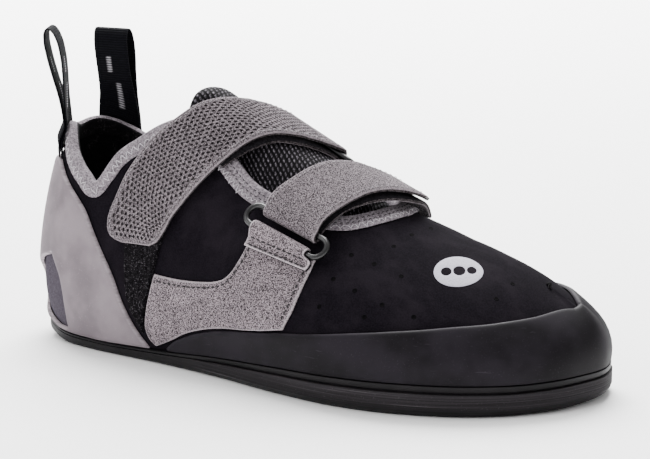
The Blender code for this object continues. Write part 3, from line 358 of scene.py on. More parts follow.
# top of the tongue above the upper's own surface, in millimetres, and its half width in w
TONGUE_ROWS = table(
    "u      half   crown",
    (0.322, 0.235, 1.0), (0.334, 0.270, 2.8), (0.350, 0.290, 3.8), (0.370, 0.300, 3.5),
    (0.396, 0.312, 2.5), (0.440, 0.340, 2.4), (0.475, 0.375, 2.4), (0.510, 0.395, 2.6),
    (0.545, 0.395, 2.7), (0.580, 0.385, 2.6), (0.615, 0.370, 1.9), (0.645, 0.350, 0.6),
    (0.670, 0.320, -1.6), (0.690, 0.300, -3.4), (0.715, 0.280, -4.1), (0.740, 0.250, -4.1),
)
TUCK = WALL + GAP + BIND + 0.0009      # the tongue's edges stay this deep below the outside


# edge of the toe rand: v of its top, round from the lateral point over the toe
TOE_RAND = table(
    "t      top",
    (0.345, 0.010), (0.359, 0.038), (0.380, 0.062), (0.420, 0.093), (0.463, 0.113), (0.506, 0.127),
    (0.547, 0.142), (0.585, 0.162), (0.622, 0.181), (0.655, 0.202), (0.701, 0.233), (0.755, 0.272),
    (0.791, 0.303), (0.825, 0.338), (0.880, 0.400), (0.925, 0.484), (0.965, 0.610), (1.000, 0.670),
    (1.045, 0.650), (1.080, 0.560), (1.120, 0.490), (1.170, 0.425), (1.230, 0.375), (1.300, 0.325),
    (1.380, 0.265), (1.450, 0.200), (1.520, 0.130), (1.570, 0.055), (1.595, 0.012),
)


def both_ways(points):
    """An outline given for the lateral half, closed by its mirror image on the medial side."""
    return [*points, *[(-a, b, corner) for a, b, corner in reversed(points) if abs(a) > 1e-9]]


HEEL_RAND_EDGE = (
    (0.000, 0.585, False), (0.040, 0.583, False), (0.076, 0.570, True), (0.122, 0.500, False),
    (0.167, 0.432, False), (0.197, 0.367, False), (0.225, 0.302, False), (0.248, 0.235, False),
    (0.266, 0.160, False), (0.287, 0.082, False), (0.312, 0.004, True), (0.200, 0.004, False),
    (0.100, 0.004, False), (0.000, 0.004, False),
)
HEEL_WINDOW = (
    (0.104, 0.285, True), (0.130, 0.210, False), (0.140, 0.120, False), (0.143, 0.022, True),
    (0.070, 0.030, False), (0.033, 0.090, False), (0.030, 0.180, False), (0.058, 0.258, False),
)


LATERAL_PANEL = (
    (0.519, -0.509, True), (0.633, -0.494, True), (0.626, -0.565, False), (0.614, -0.660, False),
    (0.602, -0.743, False), (0.585, -0.826, True), (0.547, -0.849, False), (0.506, -0.866, False),
    (0.463, -0.877, False), (0.420, -0.896, False), (0.380, -0.926, False), (0.359, -0.951, False),
    (0.326, -0.985, True), (0.314, -0.955, False), (0.309, -0.925, False), (0.312, -0.853, False),
    (0.320, -0.788, False), (0.327, -0.738, True), (0.351, -0.741, False), (0.381, -0.741, False),
    (0.420, -0.733, False), (0.444, -0.723, False), (0.465, -0.705, False), (0.481, -0.673, False),
    (0.495, -0.625, False), (0.503, -0.590, False), (0.511, -0.546, False),
)
MEDIAL_PANEL = (
    (0.430, 0.435, True), (0.540, 0.447, False), (0.655, 0.425, True), (0.682, 0.500, False),
    (0.700, 0.590, True), (0.640, 0.655, False), (0.560, 0.725, False), (0.500, 0.800, False),
    (0.452, 0.865, True), (0.428, 0.700, False), (0.424, 0.540, False),
)
LOOP_STRIP = (
    (0.272, -0.520, True), (0.347, -0.540, True), (0.341, -0.600, False), (0.331, -0.680, False),
    (0.323, -0.742, False), (0.316, -0.795, False), (0.308, -0.855, False), (0.304, -0.925, False),
    (0.303, -0.940, True), (0.299, -0.925, False), (0.290, -0.895, False), (0.277, -0.832, False),
    (0.270, -0.753, False), (0.267, -0.680, False), (0.267, -0.600, False),
)


# straps. Each row: the two edges in (u, w) and the height of the middle above the upper, in mm.
# They start at the free end and run to the ring, where the strap turns and comes back below.
UPPER_STRAP = table(
    "u_back w_back  u_front w_front lift",
    (0.266, -0.657, 0.319, -0.657, 2.7),
    (0.245, -0.645, 0.331, -0.646, 2.7),
    (0.234, -0.618, 0.338, -0.632, 2.7),
    (0.233, -0.578, 0.344, -0.614, 2.7),
    (0.242, -0.524, 0.350, -0.594, 2.8),
    (0.252, -0.465, 0.358, -0.562, 2.9),
    (0.268, -0.405, 0.378, -0.505, 3.1),
    (0.288, -0.346, 0.402, -0.435, 3.8),
    (0.325, -0.250, 0.440, -0.310, 4.6),
    (0.352, -0.165, 0.465, -0.210, 5.4),
    (0.378, -0.095, 0.490, -0.115, 5.9),
    (0.405, -0.030, 0.516, -0.038, 6.2),
    (0.427, 0.030, 0.538, 0.028, 6.6),
    (0.446, 0.085, 0.558, 0.082, 7.3),
    (0.460, 0.130, 0.573, 0.126, 8.2),
)
UPPER_UNDER = table(
    "u_back w_back  u_front w_front lift",
    (0.460, 0.130, 0.578, 0.126, 3.2),
    (0.446, 0.085, 0.570, 0.082, 4.0),
    (0.427, 0.030, 0.552, 0.028, 4.2),
    (0.405, -0.030, 0.530, -0.038, 4.1),
    (0.382, -0.095, 0.502, -0.115, 3.8),
    (0.368, -0.165, 0.476, -0.210, 3.1),
    (0.358, -0.240, 0.452, -0.290, 2.6),
    (0.352, -0.300, 0.432, -0.350, 2.4),
)
LOWER_STRAP = table(
    "u_back w_back  u_front w_front lift",
    (0.676, 0.150, 0.728, 0.108, 7.3),
    (0.662, 0.100, 0.724, 0.055, 8.2),
    (0.643, 0.050, 0.712, -0.005, 8.7),
    (0.617, -0.015, 0.693, -0.070, 9.0),
    (0.595, -0.095, 0.676, -0.145, 8.9),
    (0.578, -0.182, 0.663, -0.217, 8.5),
    (0.564, -0.263, 0.652, -0.279, 8.2),
    (0.550, -0.328, 0.641, -0.338, 8.0),
    (0.542, -0.378, 0.635, -0.388, 7.9),
    (0.541, -0.416, 0.634, -0.428, 7.8),
)
LOWER_UNDER = table(
    "u_back w_back  u_front w_front lift",
    (0.541, -0.416, 0.634, -0.428, 3.0),
    (0.542, -0.378, 0.636, -0.388, 3.3),
    (0.550, -0.328, 0.643, -0.338, 3.9),
    (0.562, -0.255, 0.655, -0.272, 4.7),
    (0.575, -0.175, 0.669, -0.215, 5.6),
    (0.595, -0.095, 0.686, -0.145, 6.1),
    (0.617, -0.015, 0.705, -0.070, 6.2),
    (0.640, 0.050, 0.722, -0.005, 5.9),
    (0.653, 0.115, 0.727, 0.060, 5.3),
    (0.655, 0.190, 0.720, 0.150, 4.4),
    (0.651, 0.270, 0.710, 0.240, 3.4),
    (0.646, 0.350, 0.700, 0.320, 2.7),
)


# pull loops: t of the middle, height above the collar, the way the loop faces in degrees from
# straight ahead, and how far its top leans that way and towards the heel
PULL_LOOPS = {
    "pull_loop_lateral": (0.040, 0.0420, 213.0, 0.0062, 0.0000),
    "pull_loop_medial": (-0.092, 0.0405, 95.0, 0.0020, 0.0045),
}
LOOP_ROWS = table(       # rows sewn to the heel: v below the collar, share of the binding under them
    "below  over",
    (0.095, 0.00), (0.074, 0.35), (0.056, 1.00), (0.028, 1.00), (0.000, 1.00),
)
LOOP_FREE = table(       # rows of one leg above the collar: height and opening as shares
    "rise  open",
    (0.10, 0.10), (0.28, 0.35), (0.50, 0.74), (0.72, 1.00), (0.88, 0.92), (0.965, 0.58), (0.995, 0.22),
)


# creases: soft troughs (negative) and ridges on the upper. Centre and half widths in (u, w), height in mm
CREASES = table(
    "u     w      du     dw     turn  height",
    (0.735, -0.120, 0.016, 0.200, 0.20, -0.50),
    (0.770, -0.060, 0.022, 0.240, 0.15, 0.30),
    (0.800, 0.100, 0.018, 0.180, -0.10, -0.30),
    (0.705, -0.330, 0.013, 0.130, 0.30, -0.45),
    (0.690, -0.520, 0.016, 0.150, 0.10, 0.25),
    (0.440, -0.560, 0.035, 0.060, 0.60, -0.35),
    (0.400, -0.470, 0.040, 0.050, 0.80, 0.30),
    (0.520, -0.440, 0.020, 0.080, 0.20, -0.30),
    (0.480, 0.560, 0.040, 0.070, -0.60, -0.35),
    (0.705, 0.380, 0.015, 0.150, -0.30, -0.45),
    (0.175, -0.590, 0.016, 0.070, 0.50, -0.40),
    (0.180, 0.560, 0.016, 0.070, -0.50, -0.40),
    (0.210, -0.700, 0.030, 0.060, 0.40, 0.30),
)


def relief(t, v):
    """Height of the creases over the plain surface, in metres."""
    u, side = fold_u(t)
    w = side * (1 - v)
    out = 0.0 * w
    for cu, cw, du, dw, turn, height in zip(*CREASES.values()):
        b = (w - cw) / dw
        a = (u - cu - turn * du * b) / du
        out = out + height * 1e-3 * np.exp(-a * a - b * b)
    return out * np.clip(v / 0.12, 0, 1)


# fine meshes

MARKS = (("place", 3), ("rim", 1), ("tint", 1))


class Piece:
    """Points, faces and what the materials read at each point."""

    def __init__(self):
        self.points = []
        self.marks = {name: [] for name, _ in MARKS}
        self.faces = []
        self.slots = []
        self.count = 0

    def add(self, points, **marks):
        points = np.asarray(points, float)
        shape = points.shape[:-1]
        self.points.append(points.reshape(-1, 3))
        for name, size in MARKS:
            value = marks.get(name, 0.0)
            if size == 3:
                value = np.broadcast_to(value, (*shape, 3)).reshape(-1, 3)
            else:
                value = np.broadcast_to(value, shape).reshape(-1)
            self.marks[name].append(np.asarray(value, float))
        first = self.count
        self.count += int(np.prod(shape))
        return np.arange(first, self.count).reshape(shape)

    def quads(self, grid, wrap=False, slot=0):
        if wrap:
            grid = np.concatenate([grid, grid[:, :1]], 1)
        quads = np.stack([grid[:-1, :-1], grid[:-1, 1:], grid[1:, 1:], grid[1:, :-1]], -1).reshape(-1, 4)
        self.faces.extend(quads.tolist())
        self.slots.extend([slot] * len(quads))

    def face(self, numbers, slot=0):
        self.faces.append([int(n) for n in numbers])
        self.slots.append(slot)

    def make(self, name, nodes, mats, slot, sharp=50, weld=1e-6):
        mesh = bpy.data.meshes.new(name)
        mesh.from_pydata(np.concatenate(self.points).tolist(), [], self.faces)
        for mark, size in MARKS:
            kind = "FLOAT_VECTOR" if size == 3 else "FLOAT"
            layer = mesh.attributes.new(mark, kind, "POINT")
            values = np.concatenate(self.marks[mark]).ravel()
            layer.data.foreach_set("vector" if size == 3 else "value", values)
        mesh.polygons.foreach_set("material_index", self.slots)
        bm = bmesh.new()
        bm.from_mesh(mesh)
        if weld:
            bmesh.ops.remove_doubles(bm, verts=bm.verts, dist=weld)
            bmesh.ops.dissolve_degenerate(bm, edges=bm.edges, dist=weld)
        bmesh.ops.recalc_face_normals(bm, faces=bm.faces)
        if bm.calc_volume(signed=True) < 0:
            bmesh.ops.reverse_faces(bm, faces=bm.faces)
        bm.to_mesh(mesh)
        bm.free()
        mesh.shade_smooth()
        mesh.set_sharp_from_angle(angle=math.radians(sharp))
        for mat in mats:
            mesh.materials.append(mat)
        obj = bpy.data.objects.new(name, mesh)
        bpy.context.scene.collection.objects.link(obj)
        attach(obj, "root")
        if nodes:
            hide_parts(*nodes)
        return obj


def mm(a, b):
    """A place in millimetres from two lengths in metres."""
    a, b = np.broadcast_arrays(a, b)
    return np.stack([a, b, 0 * a], -1) * 1e3


def lengths(points, axis=0):
    """Running length along an axis of a grid of points."""
    step = np.linalg.norm(np.diff(points, axis=axis), axis=-1)
    return np.concatenate([np.zeros_like(np.take(step, [0], axis=axis)), np.cumsum(step, axis=axis)], axis)


def grid_normals(points):
    along = np.gradient(points, axis=0)
    across = np.gradient(points, axis=1)
    normal = np.cross(along, across)
    return normal / np.maximum(np.linalg.norm(normal, axis=-1, keepdims=True), 1e-12)


def rounding(distance, radius, least=0.45):
    """Share of the full thickness at a distance from the edge."""
    r = np.clip(distance / radius, 0, 1)
    return least + (1 - least) * np.sqrt(np.clip(1 - (1 - r)**2, 0, 1))


def shell(outer, inner, rim=PLAIN_RIM, place=0.0, tint=0.0, slots=(0, 0, 0)):
    """A closed solid between two matching grids. slots: outside, inside, edges."""
    made = Piece()
    a = made.add(outer, rim=rim, place=place, tint=tint)
    b = made.add(inner, rim=rim, place=place, tint=tint)
    made.quads(a, False, slots[0])
    made.quads(b, False, slots[1])
    for edge in ((a[0], b[0]), (a[-1], b[-1]), (a[:, 0], b[:, 0]), (a[:, -1], b[:, -1])):
        made.quads(np.stack(edge), False, slots[2])
    return made


def inset(loop, distance, scale=SHEET_SCALE):
    """A closed outline moved inwards."""
    flat = loop * scale
    ahead = np.roll(flat, -1, 0) - np.roll(flat, 1, 0)
    side = np.stack([-ahead[:, 1], ahead[:, 0]], -1)
    side /= np.linalg.norm(side, axis=1, keepdims=True)
    area = (flat[:, 0] * np.roll(flat[:, 1], -1) - np.roll(flat[:, 0], -1) * flat[:, 1]).sum()
    return (flat + side * distance * np.sign(area)) / scale


def apart_from(points, rim):
    """Distance of each point to a closed outline."""
    start = rim[None]
    run = (np.roll(rim, -1, 0) - rim)[None]
    best = np.full(len(points), 1e9)
    for k in range(0, len(points), 2000):
        rel = points[k:k + 2000, None] - start
        s = np.clip((rel * run).sum(-1) / np.maximum((run * run).sum(-1), 1e-18), 0, 1)
        best[k:k + 2000] = np.linalg.norm(rel - run * s[..., None], axis=-1).min(1)
    return best


def nearest(points, centres):
    """Distance of each point to the nearest of the centres."""
    return np.concatenate([np.linalg.norm(points[k:k + 2000, None] - centres[None], axis=-1).min(1)
                           for k in range(0, len(points), 2000)])


def sheet(surface, outer, holes, step, low, thick, scale=SHEET_SCALE, radius=0.0007, least=0.45,
          rings=(0.0003, 0.0008, 0.0016), cuts=()):
    """A sheet cut from the surface, with rounded edges. cuts: small holes that stay sharp."""
    rims = [np.asarray(loop) * scale for loop in [outer, *holes]]
    small = [np.asarray(loop) * scale for loop in cuts]
    low_corner = rims[0].min(0)
    high_corner = rims[0].max(0)
    rows = np.arange(low_corner[1], high_corner[1], step * 0.87)
    lattice = []
    for n, y in enumerate(rows):
        xs = np.arange(low_corner[0] + (n % 2) * step / 2, high_corner[0], step)
        lattice.append(np.stack([xs, np.full_like(xs, y)], -1))
    lattice = np.concatenate(lattice)
    lattice = lattice[inside(rims[0], lattice)]
    for rim in rims[1:]:
        lattice = lattice[~inside(rim, lattice)]
    near = np.min([apart_from(lattice, rim) for rim in rims], axis=0)
    lattice = lattice[near > max(rings[-1:] + (0,)) + 0.55 * step]
    extra = []
    for distance in rings:
        for rim in rims:
            ring = inset(rim, distance if rim is rims[0] else -distance, 1.0)
            ring = ring[inside(rims[0], ring)]
            for other in rims[1:]:
                ring = ring[~inside(other, ring)]
            clear = np.min([apart_from(ring, other) for other in rims], axis=0)
            extra.append(ring[clear > 0.85 * distance])
    free = np.concatenate([lattice, *extra])
    if small:
        centres = np.array([loop.mean(0) for loop in small])
        reach = np.linalg.norm(small[0] - centres[0], axis=1).max() + 0.12 * step
        free = free[nearest(free, centres) > reach]
    edges = []
    first = 0
    for rim in rims + small:
        n = len(rim)
        edges.extend((first + k, first + (k + 1) % n) for k in range(n))
        first += n
    flat = [Vector(p) for p in np.concatenate(rims + small + [free])]
    points, _, faces, _, _, _ = delaunay_2d_cdt(flat, edges, [], 0, 1e-8)
    points = np.array([tuple(p) for p in points])
    middle = np.array([points[list(face)].mean(0) for face in faces])
    keep = inside(rims[0], middle)
    for rim in rims[1:]:
        keep &= ~inside(rim, middle)
    if small:
        keep &= nearest(middle, centres) > 0.60 * np.linalg.norm(small[0] - centres[0], axis=1).max()
    faces = [face for face, good in zip(faces, keep) if good]
    distance = np.min([apart_from(points, rim) for rim in rims], axis=0)
    a, b = (points / scale).T
    made = Piece()
    marks = {"rim": distance * 1e3, "place": mm(points[:, 0], points[:, 1])}
    top = made.add(surface(a, b, low + thick * rounding(distance, radius, least)), **marks)
    under = made.add(surface(a, b, low + 0 * a), **marks)
    seen = set()
    for face in faces:
        for k in range(len(face)):
            seen.add((face[k], face[(k + 1) % len(face)]))
        made.face(top[list(face)])
        made.face(under[list(face)][::-1], 1)
    for i, j in seen:
        if (j, i) not in seen:
            made.face((top[j], top[i], under[i], under[j]), 1)
    return made


def stitches(name, starts, ends, normals, mats, radius, slot="tape_grey"):
    """Thread between pairs of points: each stitch is a bent capsule that dips in at both ends."""
    starts, ends, normals = (np.asarray(a, float) for a in (starts, ends, normals))
    along = ends - starts
    size = np.linalg.norm(along, axis=1, keepdims=True)
    along /= size
    side = np.cross(normals, along)
    side /= np.linalg.norm(side, axis=1, keepdims=True)
    up = np.cross(along, side)
    rings = []
    for q, swell, lift in ((0.0, 0.45, -1.0), (0.12, 0.9, 0.1), (0.32, 1.0, 0.8), (0.5, 1.0, 1.0),
                           (0.68, 1.0, 0.8), (0.88, 0.9, 0.1), (1.0, 0.45, -1.0)):
        centre = starts + along * size * q + up * STITCH_SINK * lift
        ring = [centre + radius * swell * (side * math.cos(a) + up * STITCH_FLAT * math.sin(a))
                for a in np.radians(np.arange(0, 360, 60))]
        rings.append(np.stack(ring, 1))
    grid = np.stack(rings, 1)
    made = Piece()
    numbers = made.add(grid, place=mm(np.linspace(0, 1, 7)[None, :, None] + 0 * grid[..., 0], 0))
    for block in numbers:
        made.quads(block, wrap=True)
        made.face(block[0])
        made.face(block[-1][::-1])
    return made.make(name, None, mats, slot, weld=None, sharp=60)


def on_surface(surface, path, off):
    """Points and normals over the surface along a path in its own shares."""
    a, b = np.asarray(path, float).T
    low = surface(a, b, off + 0 * a)
    up = surface(a, b, off + 0.001 + 0 * a) - low
    return low, up / np.linalg.norm(up, axis=-1, keepdims=True)


def run_of(points, normals, stitch, gap):
    """Cut a line of points into stitches: starts, ends and normals."""
    s = lengths(points)
    pitch = stitch + gap
    first = np.arange(0.3 * pitch, s[-1] - stitch, pitch)

    def at(q, values):
        return np.stack([np.interp(q, s, values[:, k]) for k in range(3)], -1)

    return at(first, points), at(first + stitch, points), at(first + stitch / 2, normals)


# materials

def tone(r, g, b):
    """A colour given in 0 to 255, as light."""
    def lin(c):
        c /= 255
        return c / 12.92 if c <= 0.04045 else ((c + 0.055) / 1.055)**2.4
    return lin(r), lin(g), lin(b), 1.0


class Look:
    """A material and short calls for its nodes."""

    def __init__(self, name, rough=0.9, sheen=0.0, coat=0.0, metal=0.0, specular=0.5, coat_rough=0.3):
        self.mat = bpy.data.materials.new(name)
        self.mat.use_nodes = True
        self.tree = self.mat.node_tree
        self.bsdf = self.tree.nodes["Principled BSDF"]
        self.bsdf.inputs["Roughness"].default_value = rough
        self.bsdf.inputs["Metallic"].default_value = metal
        self.bsdf.inputs["Specular IOR Level"].default_value = specular
        self.bsdf.inputs["Sheen Weight"].default_value = sheen
        self.bsdf.inputs["Sheen Roughness"].default_value = 0.5
        self.bsdf.inputs["Coat Weight"].default_value = coat
        self.bsdf.inputs["Coat Roughness"].default_value = coat_rough
        self.where = self.node("ShaderNodeTexCoord").outputs["Object"]
        self.heights = []

    def node(self, kind, props=None, **inputs):
        made = self.tree.nodes.new(kind)
        for key, value in (props or {}).items():
            setattr(made, key, value)
        for key, value in inputs.items():
            socket = made.inputs[int(key[1:])] if key[0] == "n" and key[1:].isdigit() else made.inputs[key]
            if isinstance(value, bpy.types.NodeSocket):
                self.tree.links.new(value, socket)
            else:
                socket.default_value = value
        return made

    def math(self, operation, *values):
        made = self.tree.nodes.new("ShaderNodeMath")
        made.operation = operation
        for socket, value in zip(made.inputs, values):
            if isinstance(value, bpy.types.NodeSocket):
                self.tree.links.new(value, socket)
            else:
                socket.default_value = value
        return made.outputs[0]

    def read(self, name, part=None):
        made = self.node("ShaderNodeAttribute", {"attribute_name": name})
        if part is None:
            return made.outputs["Fac"]
        split = self.node("ShaderNodeSeparateXYZ", n0=made.outputs["Vector"])
        return split.outputs[part]

    def noise(self, per_mm, detail=2.0, rough=0.6, stretch=(1, 1, 1)):
        """Noise with so many features a millimetre."""
        place = self.node("ShaderNodeMapping", n0=self.where, Scale=stretch).outputs[0]
        return self.node("ShaderNodeTexNoise", Vector=place, Scale=per_mm * 1000.0, Detail=detail,
                         Roughness=rough).outputs["Fac"]

    def ramp(self, value, low, high, out_low=0.0, out_high=1.0):
        inputs = {"n0": value, "n1": low, "n2": high, "n3": out_low, "n4": out_high}
        return self.node("ShaderNodeMapRange", {"interpolation_type": "SMOOTHSTEP"}, **inputs).outputs[0]

    def mix(self, share, a, b, blend="MIX"):
        made = self.node("ShaderNodeMix", {"data_type": "RGBA", "blend_type": blend})
        for k, value in ((0, share), (6, a), (7, b)):
            if isinstance(value, bpy.types.NodeSocket):
                self.tree.links.new(value, made.inputs[k])
            else:
                made.inputs[k].default_value = value
        return made.outputs[2]

    def colour(self, value):
        if isinstance(value, bpy.types.NodeSocket):
            self.tree.links.new(value, self.bsdf.inputs["Base Color"])
        else:
            self.bsdf.inputs["Base Color"].default_value = value

    def rough(self, value):
        self.tree.links.new(value, self.bsdf.inputs["Roughness"])

    def bump(self, height, depth_mm, strength=1.0):
        inputs = {"Height": height, "Distance": depth_mm * 1e-3, "Strength": strength}
        if self.heights:
            inputs["Normal"] = self.heights[-1]
        self.heights.append(self.node("ShaderNodeBump", **inputs).outputs[0])
        normal = self.bsdf.inputs["Normal"]
        self.tree.links.new(self.heights[-1], normal)


def suede(name, dark, mid, light, grain=1.15, edge=None):
    """Napped suede: a speckled nap over soft clouds, paler along its edges: partly wear, partly a painted
    highlight on the rolled edge.
    """
    look = Look(name, rough=0.95, sheen=0.04, specular=0.08)
    speck = look.noise(grain, 2.0, 0.7)
    fine = look.noise(grain * 2.3, 2.0, 0.6)
    cloud = look.noise(0.09, 3.0, 0.6)
    nap = look.mix(look.ramp(speck, 0.43, 0.57), dark, light)
    nap = look.mix(look.ramp(fine, 0.35, 0.65, 0.0, 0.30), nap, mid)
    nap = look.mix(look.ramp(cloud, 0.35, 0.65, 0.0, 0.15), nap, dark)
    if edge is not None:
        # paler near the edge: partly wear, partly a painted highlight on the rolled edge
        near = look.ramp(look.read("rim"), 0.9, 0.1)
        worn = look.math("MULTIPLY", near, look.ramp(speck, 0.3, 0.6, 0.35, 0.9))
        nap = look.mix(worn, nap, edge)
    look.colour(nap)
    look.bump(speck, 0.16, 0.7)
    look.bump(fine, 0.08, 0.6)
    return look.mat


def felt(name, dark, light, grain=1.3):
    """The fibrous cut edge or backing of a strap."""
    look = Look(name, rough=0.97, specular=0.04)
    speck = look.noise(grain, 3.0, 0.75)
    look.colour(look.mix(look.ramp(speck, 0.35, 0.68), dark, light))
    look.bump(speck, 0.22, 0.8)
    return look.mat


def microsuede(name, dark, mid, light, patch):
    """Black microsuede: a short even nap with faint brushed areas. tint shows another cloth."""
    look = Look(name, rough=0.95, specular=0.03)
    speck = look.noise(1.7, 2.0, 0.7)
    brushed = look.noise(0.05, 3.0, 0.65, (1.0, 1.6, 0.7))
    dust = look.ramp(look.noise(0.9, 1.0, 0.5), 0.70, 0.78, 0.0, 0.35)
    nap = look.mix(look.ramp(speck, 0.32, 0.68), dark, mid)
    nap = look.mix(look.ramp(brushed, 0.42, 0.68, 0.0, 0.40), nap, light)
    nap = look.mix(dust, nap, light)
    other = look.mix(look.ramp(speck, 0.3, 0.7), patch[0], patch[1])
    look.colour(look.mix(look.read("tint"), nap, other))
    look.bump(speck, 0.07, 0.5)
    return look.mat


def lining(name, dark, light):
    """Brushed black lining with pilled fibres."""
    look = Look(name, rough=0.97, sheen=0.05, specular=0.05)
    speck = look.noise(0.9, 3.0, 0.8)
    tufts = look.noise(0.16, 2.0, 0.6)
    share = look.math("MULTIPLY", look.ramp(speck, 0.48, 0.75), look.ramp(tufts, 0.40, 0.65))
    look.colour(look.mix(share, dark, light))
    look.bump(speck, 0.30, 0.8)
    return look.mat


def rubber(name, dark, mid, light, rough=0.50, specks=0.2, wear_and_highlight_most=0.85):
    """Smooth rubber with a faint bloom, small specks, and scuffs and a painted highlight near the edge."""
    look = Look(name, rough=rough, specular=0.07, coat=0.01, coat_rough=0.5)
    bloom = look.noise(0.035, 3.0, 0.6)
    fine = look.noise(1.5, 2.0, 0.6)
    scuff = look.noise(0.35, 3.0, 0.7, (0.25, 0.25, 2.2))
    base = look.mix(look.ramp(bloom, 0.36, 0.66), dark, mid)
    base = look.mix(look.ramp(fine, 0.62, 0.74, 0.0, specks), base, light)
    # paler near the edge: scuffs and a painted highlight
    near = look.ramp(look.read("rim"), 1.1, 0.1)
    worn = look.math("MULTIPLY", near, look.ramp(scuff, 0.35, 0.6, 0.1, wear_and_highlight_most))
    marks = look.ramp(scuff, 0.66, 0.74, 0.0, 0.22)
    base = look.mix(look.math("MAXIMUM", worn, marks), base, light)
    look.colour(base)
    look.rough(look.ramp(bloom, 0.3, 0.7, rough - 0.06, rough + 0.10))
    look.bump(fine, 0.035, 0.5)
    look.bump(bloom, 0.25, 0.25)
    return look.mat


def outsole_rubber(name, dark, mid, light, under):
    """Sole rubber: a side sanded in level lines (tint 1), smooth below, where its near-black colour is
    painted shade on the lower bevel.
    """
    look = Look(name, rough=0.66, specular=0.12)
    lines = look.noise(0.10, 3.0, 0.7, (0.10, 0.10, 22.0))
    broad = look.noise(0.03, 2.0, 0.6, (0.4, 0.4, 6.0))
    grit = look.noise(1.4, 2.0, 0.7)
    sanded = look.mix(look.ramp(lines, 0.34, 0.66), dark, mid)
    pale = look.math("MULTIPLY", look.ramp(lines, 0.58, 0.70), look.ramp(broad, 0.45, 0.6))
    sanded = look.mix(pale, sanded, light)
    sanded = look.mix(look.ramp(grit, 0.60, 0.74, 0.0, 0.25), sanded, light)
    # the near-black under colour is painted shade on the lower bevel
    plain = look.mix(look.ramp(look.noise(0.05), 0.35, 0.65), under, dark)
    side = look.read("tint")
    look.colour(look.mix(side, plain, sanded))
    look.rough(look.ramp(side, 0.0, 1.0, 0.48, 0.72))
    look.bump(look.math("MULTIPLY", lines, side), 0.20, 0.8)
    look.bump(grit, 0.05, 0.5)
    return look.mat


def tape(name, dark, mid, light):
    """Woven binding tape: a fine rib across its length."""
    look = Look(name, rough=0.92, sheen=0.08, specular=0.12)
    along = look.read("place", 0)
    across = look.read("place", 1)
    weft = look.math("SINE", look.math("MULTIPLY", along, 2 * math.pi / 0.62))
    warp = look.math("SINE", look.math("MULTIPLY", across, 2 * math.pi / 0.80))
    weave = look.math("MULTIPLY_ADD", look.math("MULTIPLY", weft, warp), 0.5, 0.5)
    speck = look.noise(1.3, 2.0, 0.7)
    base = look.mix(look.ramp(speck, 0.32, 0.68), dark, light)
    base = look.mix(look.math("MULTIPLY", weave, 0.45), base, mid)
    base = look.mix(look.ramp(look.noise(0.12), 0.4, 0.65, 0.0, 0.25), base, dark)
    look.colour(base)
    look.bump(weave, 0.12, 0.7)
    look.bump(speck, 0.12, 0.6)
    return look.mat


def webbing(name, dark, light, mark):
    """Ribbed black webbing with a few plain pale dashes woven in (tint)."""
    look = Look(name, rough=0.80, specular=0.05)
    along = look.read("place", 0)
    across = look.read("place", 1)
    rib = look.math("SINE", look.math("MULTIPLY", along, 2 * math.pi / 1.05))
    rib = look.math("MULTIPLY_ADD", rib, 0.5, 0.5)
    twill = look.math("SINE", look.math("MULTIPLY", across, 2 * math.pi / 0.7))
    fibre = look.noise(1.6, 2.0, 0.7)
    base = look.mix(look.ramp(rib, 0.45, 1.0, 0.0, 0.5), dark, light)
    base = look.mix(look.ramp(fibre, 0.5, 0.75, 0.0, 0.35), base, light)
    look.colour(look.mix(look.read("tint"), base, look.mix(look.ramp(rib, 0.0, 0.6, 0.0, 0.8), light, mark)))
    look.bump(rib, 0.14, 0.8)
    look.bump(look.math("MULTIPLY", twill, 0.5), 0.05, 0.6)
    return look.mat


def pile(name, dark, light):
    """The soft half of a touch fastener: matted loops with a few catching the light."""
    look = Look(name, rough=0.98, sheen=0.02, specular=0.04)
    loops = look.noise(0.85, 3.0, 0.8)
    fine = look.noise(2.2, 1.0, 0.6)
    look.colour(look.mix(look.ramp(look.math("MULTIPLY", loops, fine), 0.27, 0.42), dark, light))
    look.bump(loops, 0.55, 0.9)
    return look.mat


def knit(name, opening_shade, thread, light):
    """Coarse spacer mesh: rows of short slanting cords with openings between them; the openings' near-black
    is painted shade and the pale share on the cords is a painted highlight.
    """
    look = Look(name, rough=0.85, specular=0.10)
    row = look.math("DIVIDE", look.read("place", 0), 2.05)
    step = look.math("FRACT", row)
    shift = look.math("MULTIPLY", look.math("FLOOR", row), 0.5)
    turn = look.math("MULTIPLY", look.read("place", 1), 1 / 2.35)
    turn = look.math("ADD", turn, look.math("MULTIPLY", step, 0.55))
    turn = look.math("ADD", look.math("ADD", turn, shift), look.math("MULTIPLY", look.noise(0.3), 0.5))
    wave = look.math("MULTIPLY_ADD", look.math("SINE", look.math("MULTIPLY", turn, 2 * math.pi)), 0.5, 0.5)
    swell = look.math("SINE", look.math("MULTIPLY", step, math.pi))
    net = look.math("MULTIPLY", wave, look.math("POWER", swell, 0.6))
    fibre = look.noise(1.6, 2.0, 0.7)
    # the near-black in the openings is painted shade in the mesh's hollows
    base = look.mix(look.ramp(net, 0.22, 0.60), opening_shade, thread)
    shine = look.math("MULTIPLY", look.ramp(fibre, 0.42, 0.62), look.ramp(net, 0.45, 0.85))
    look.colour(look.mix(shine, base, light))
    look.bump(net, 0.70, 0.9)
    look.bump(fibre, 0.10, 0.6)
    return look.mat


def metal(name, base, worn):
    look = Look(name, rough=0.34, metal=0.55, specular=0.6, coat=0.35, coat_rough=0.25)
    rub = look.noise(0.5, 3.0, 0.7)
    look.colour(look.mix(look.ramp(rub, 0.60, 0.75, 0.0, 0.5), base, worn))
    look.bump(look.noise(1.2), 0.02, 0.4)
    return look.mat


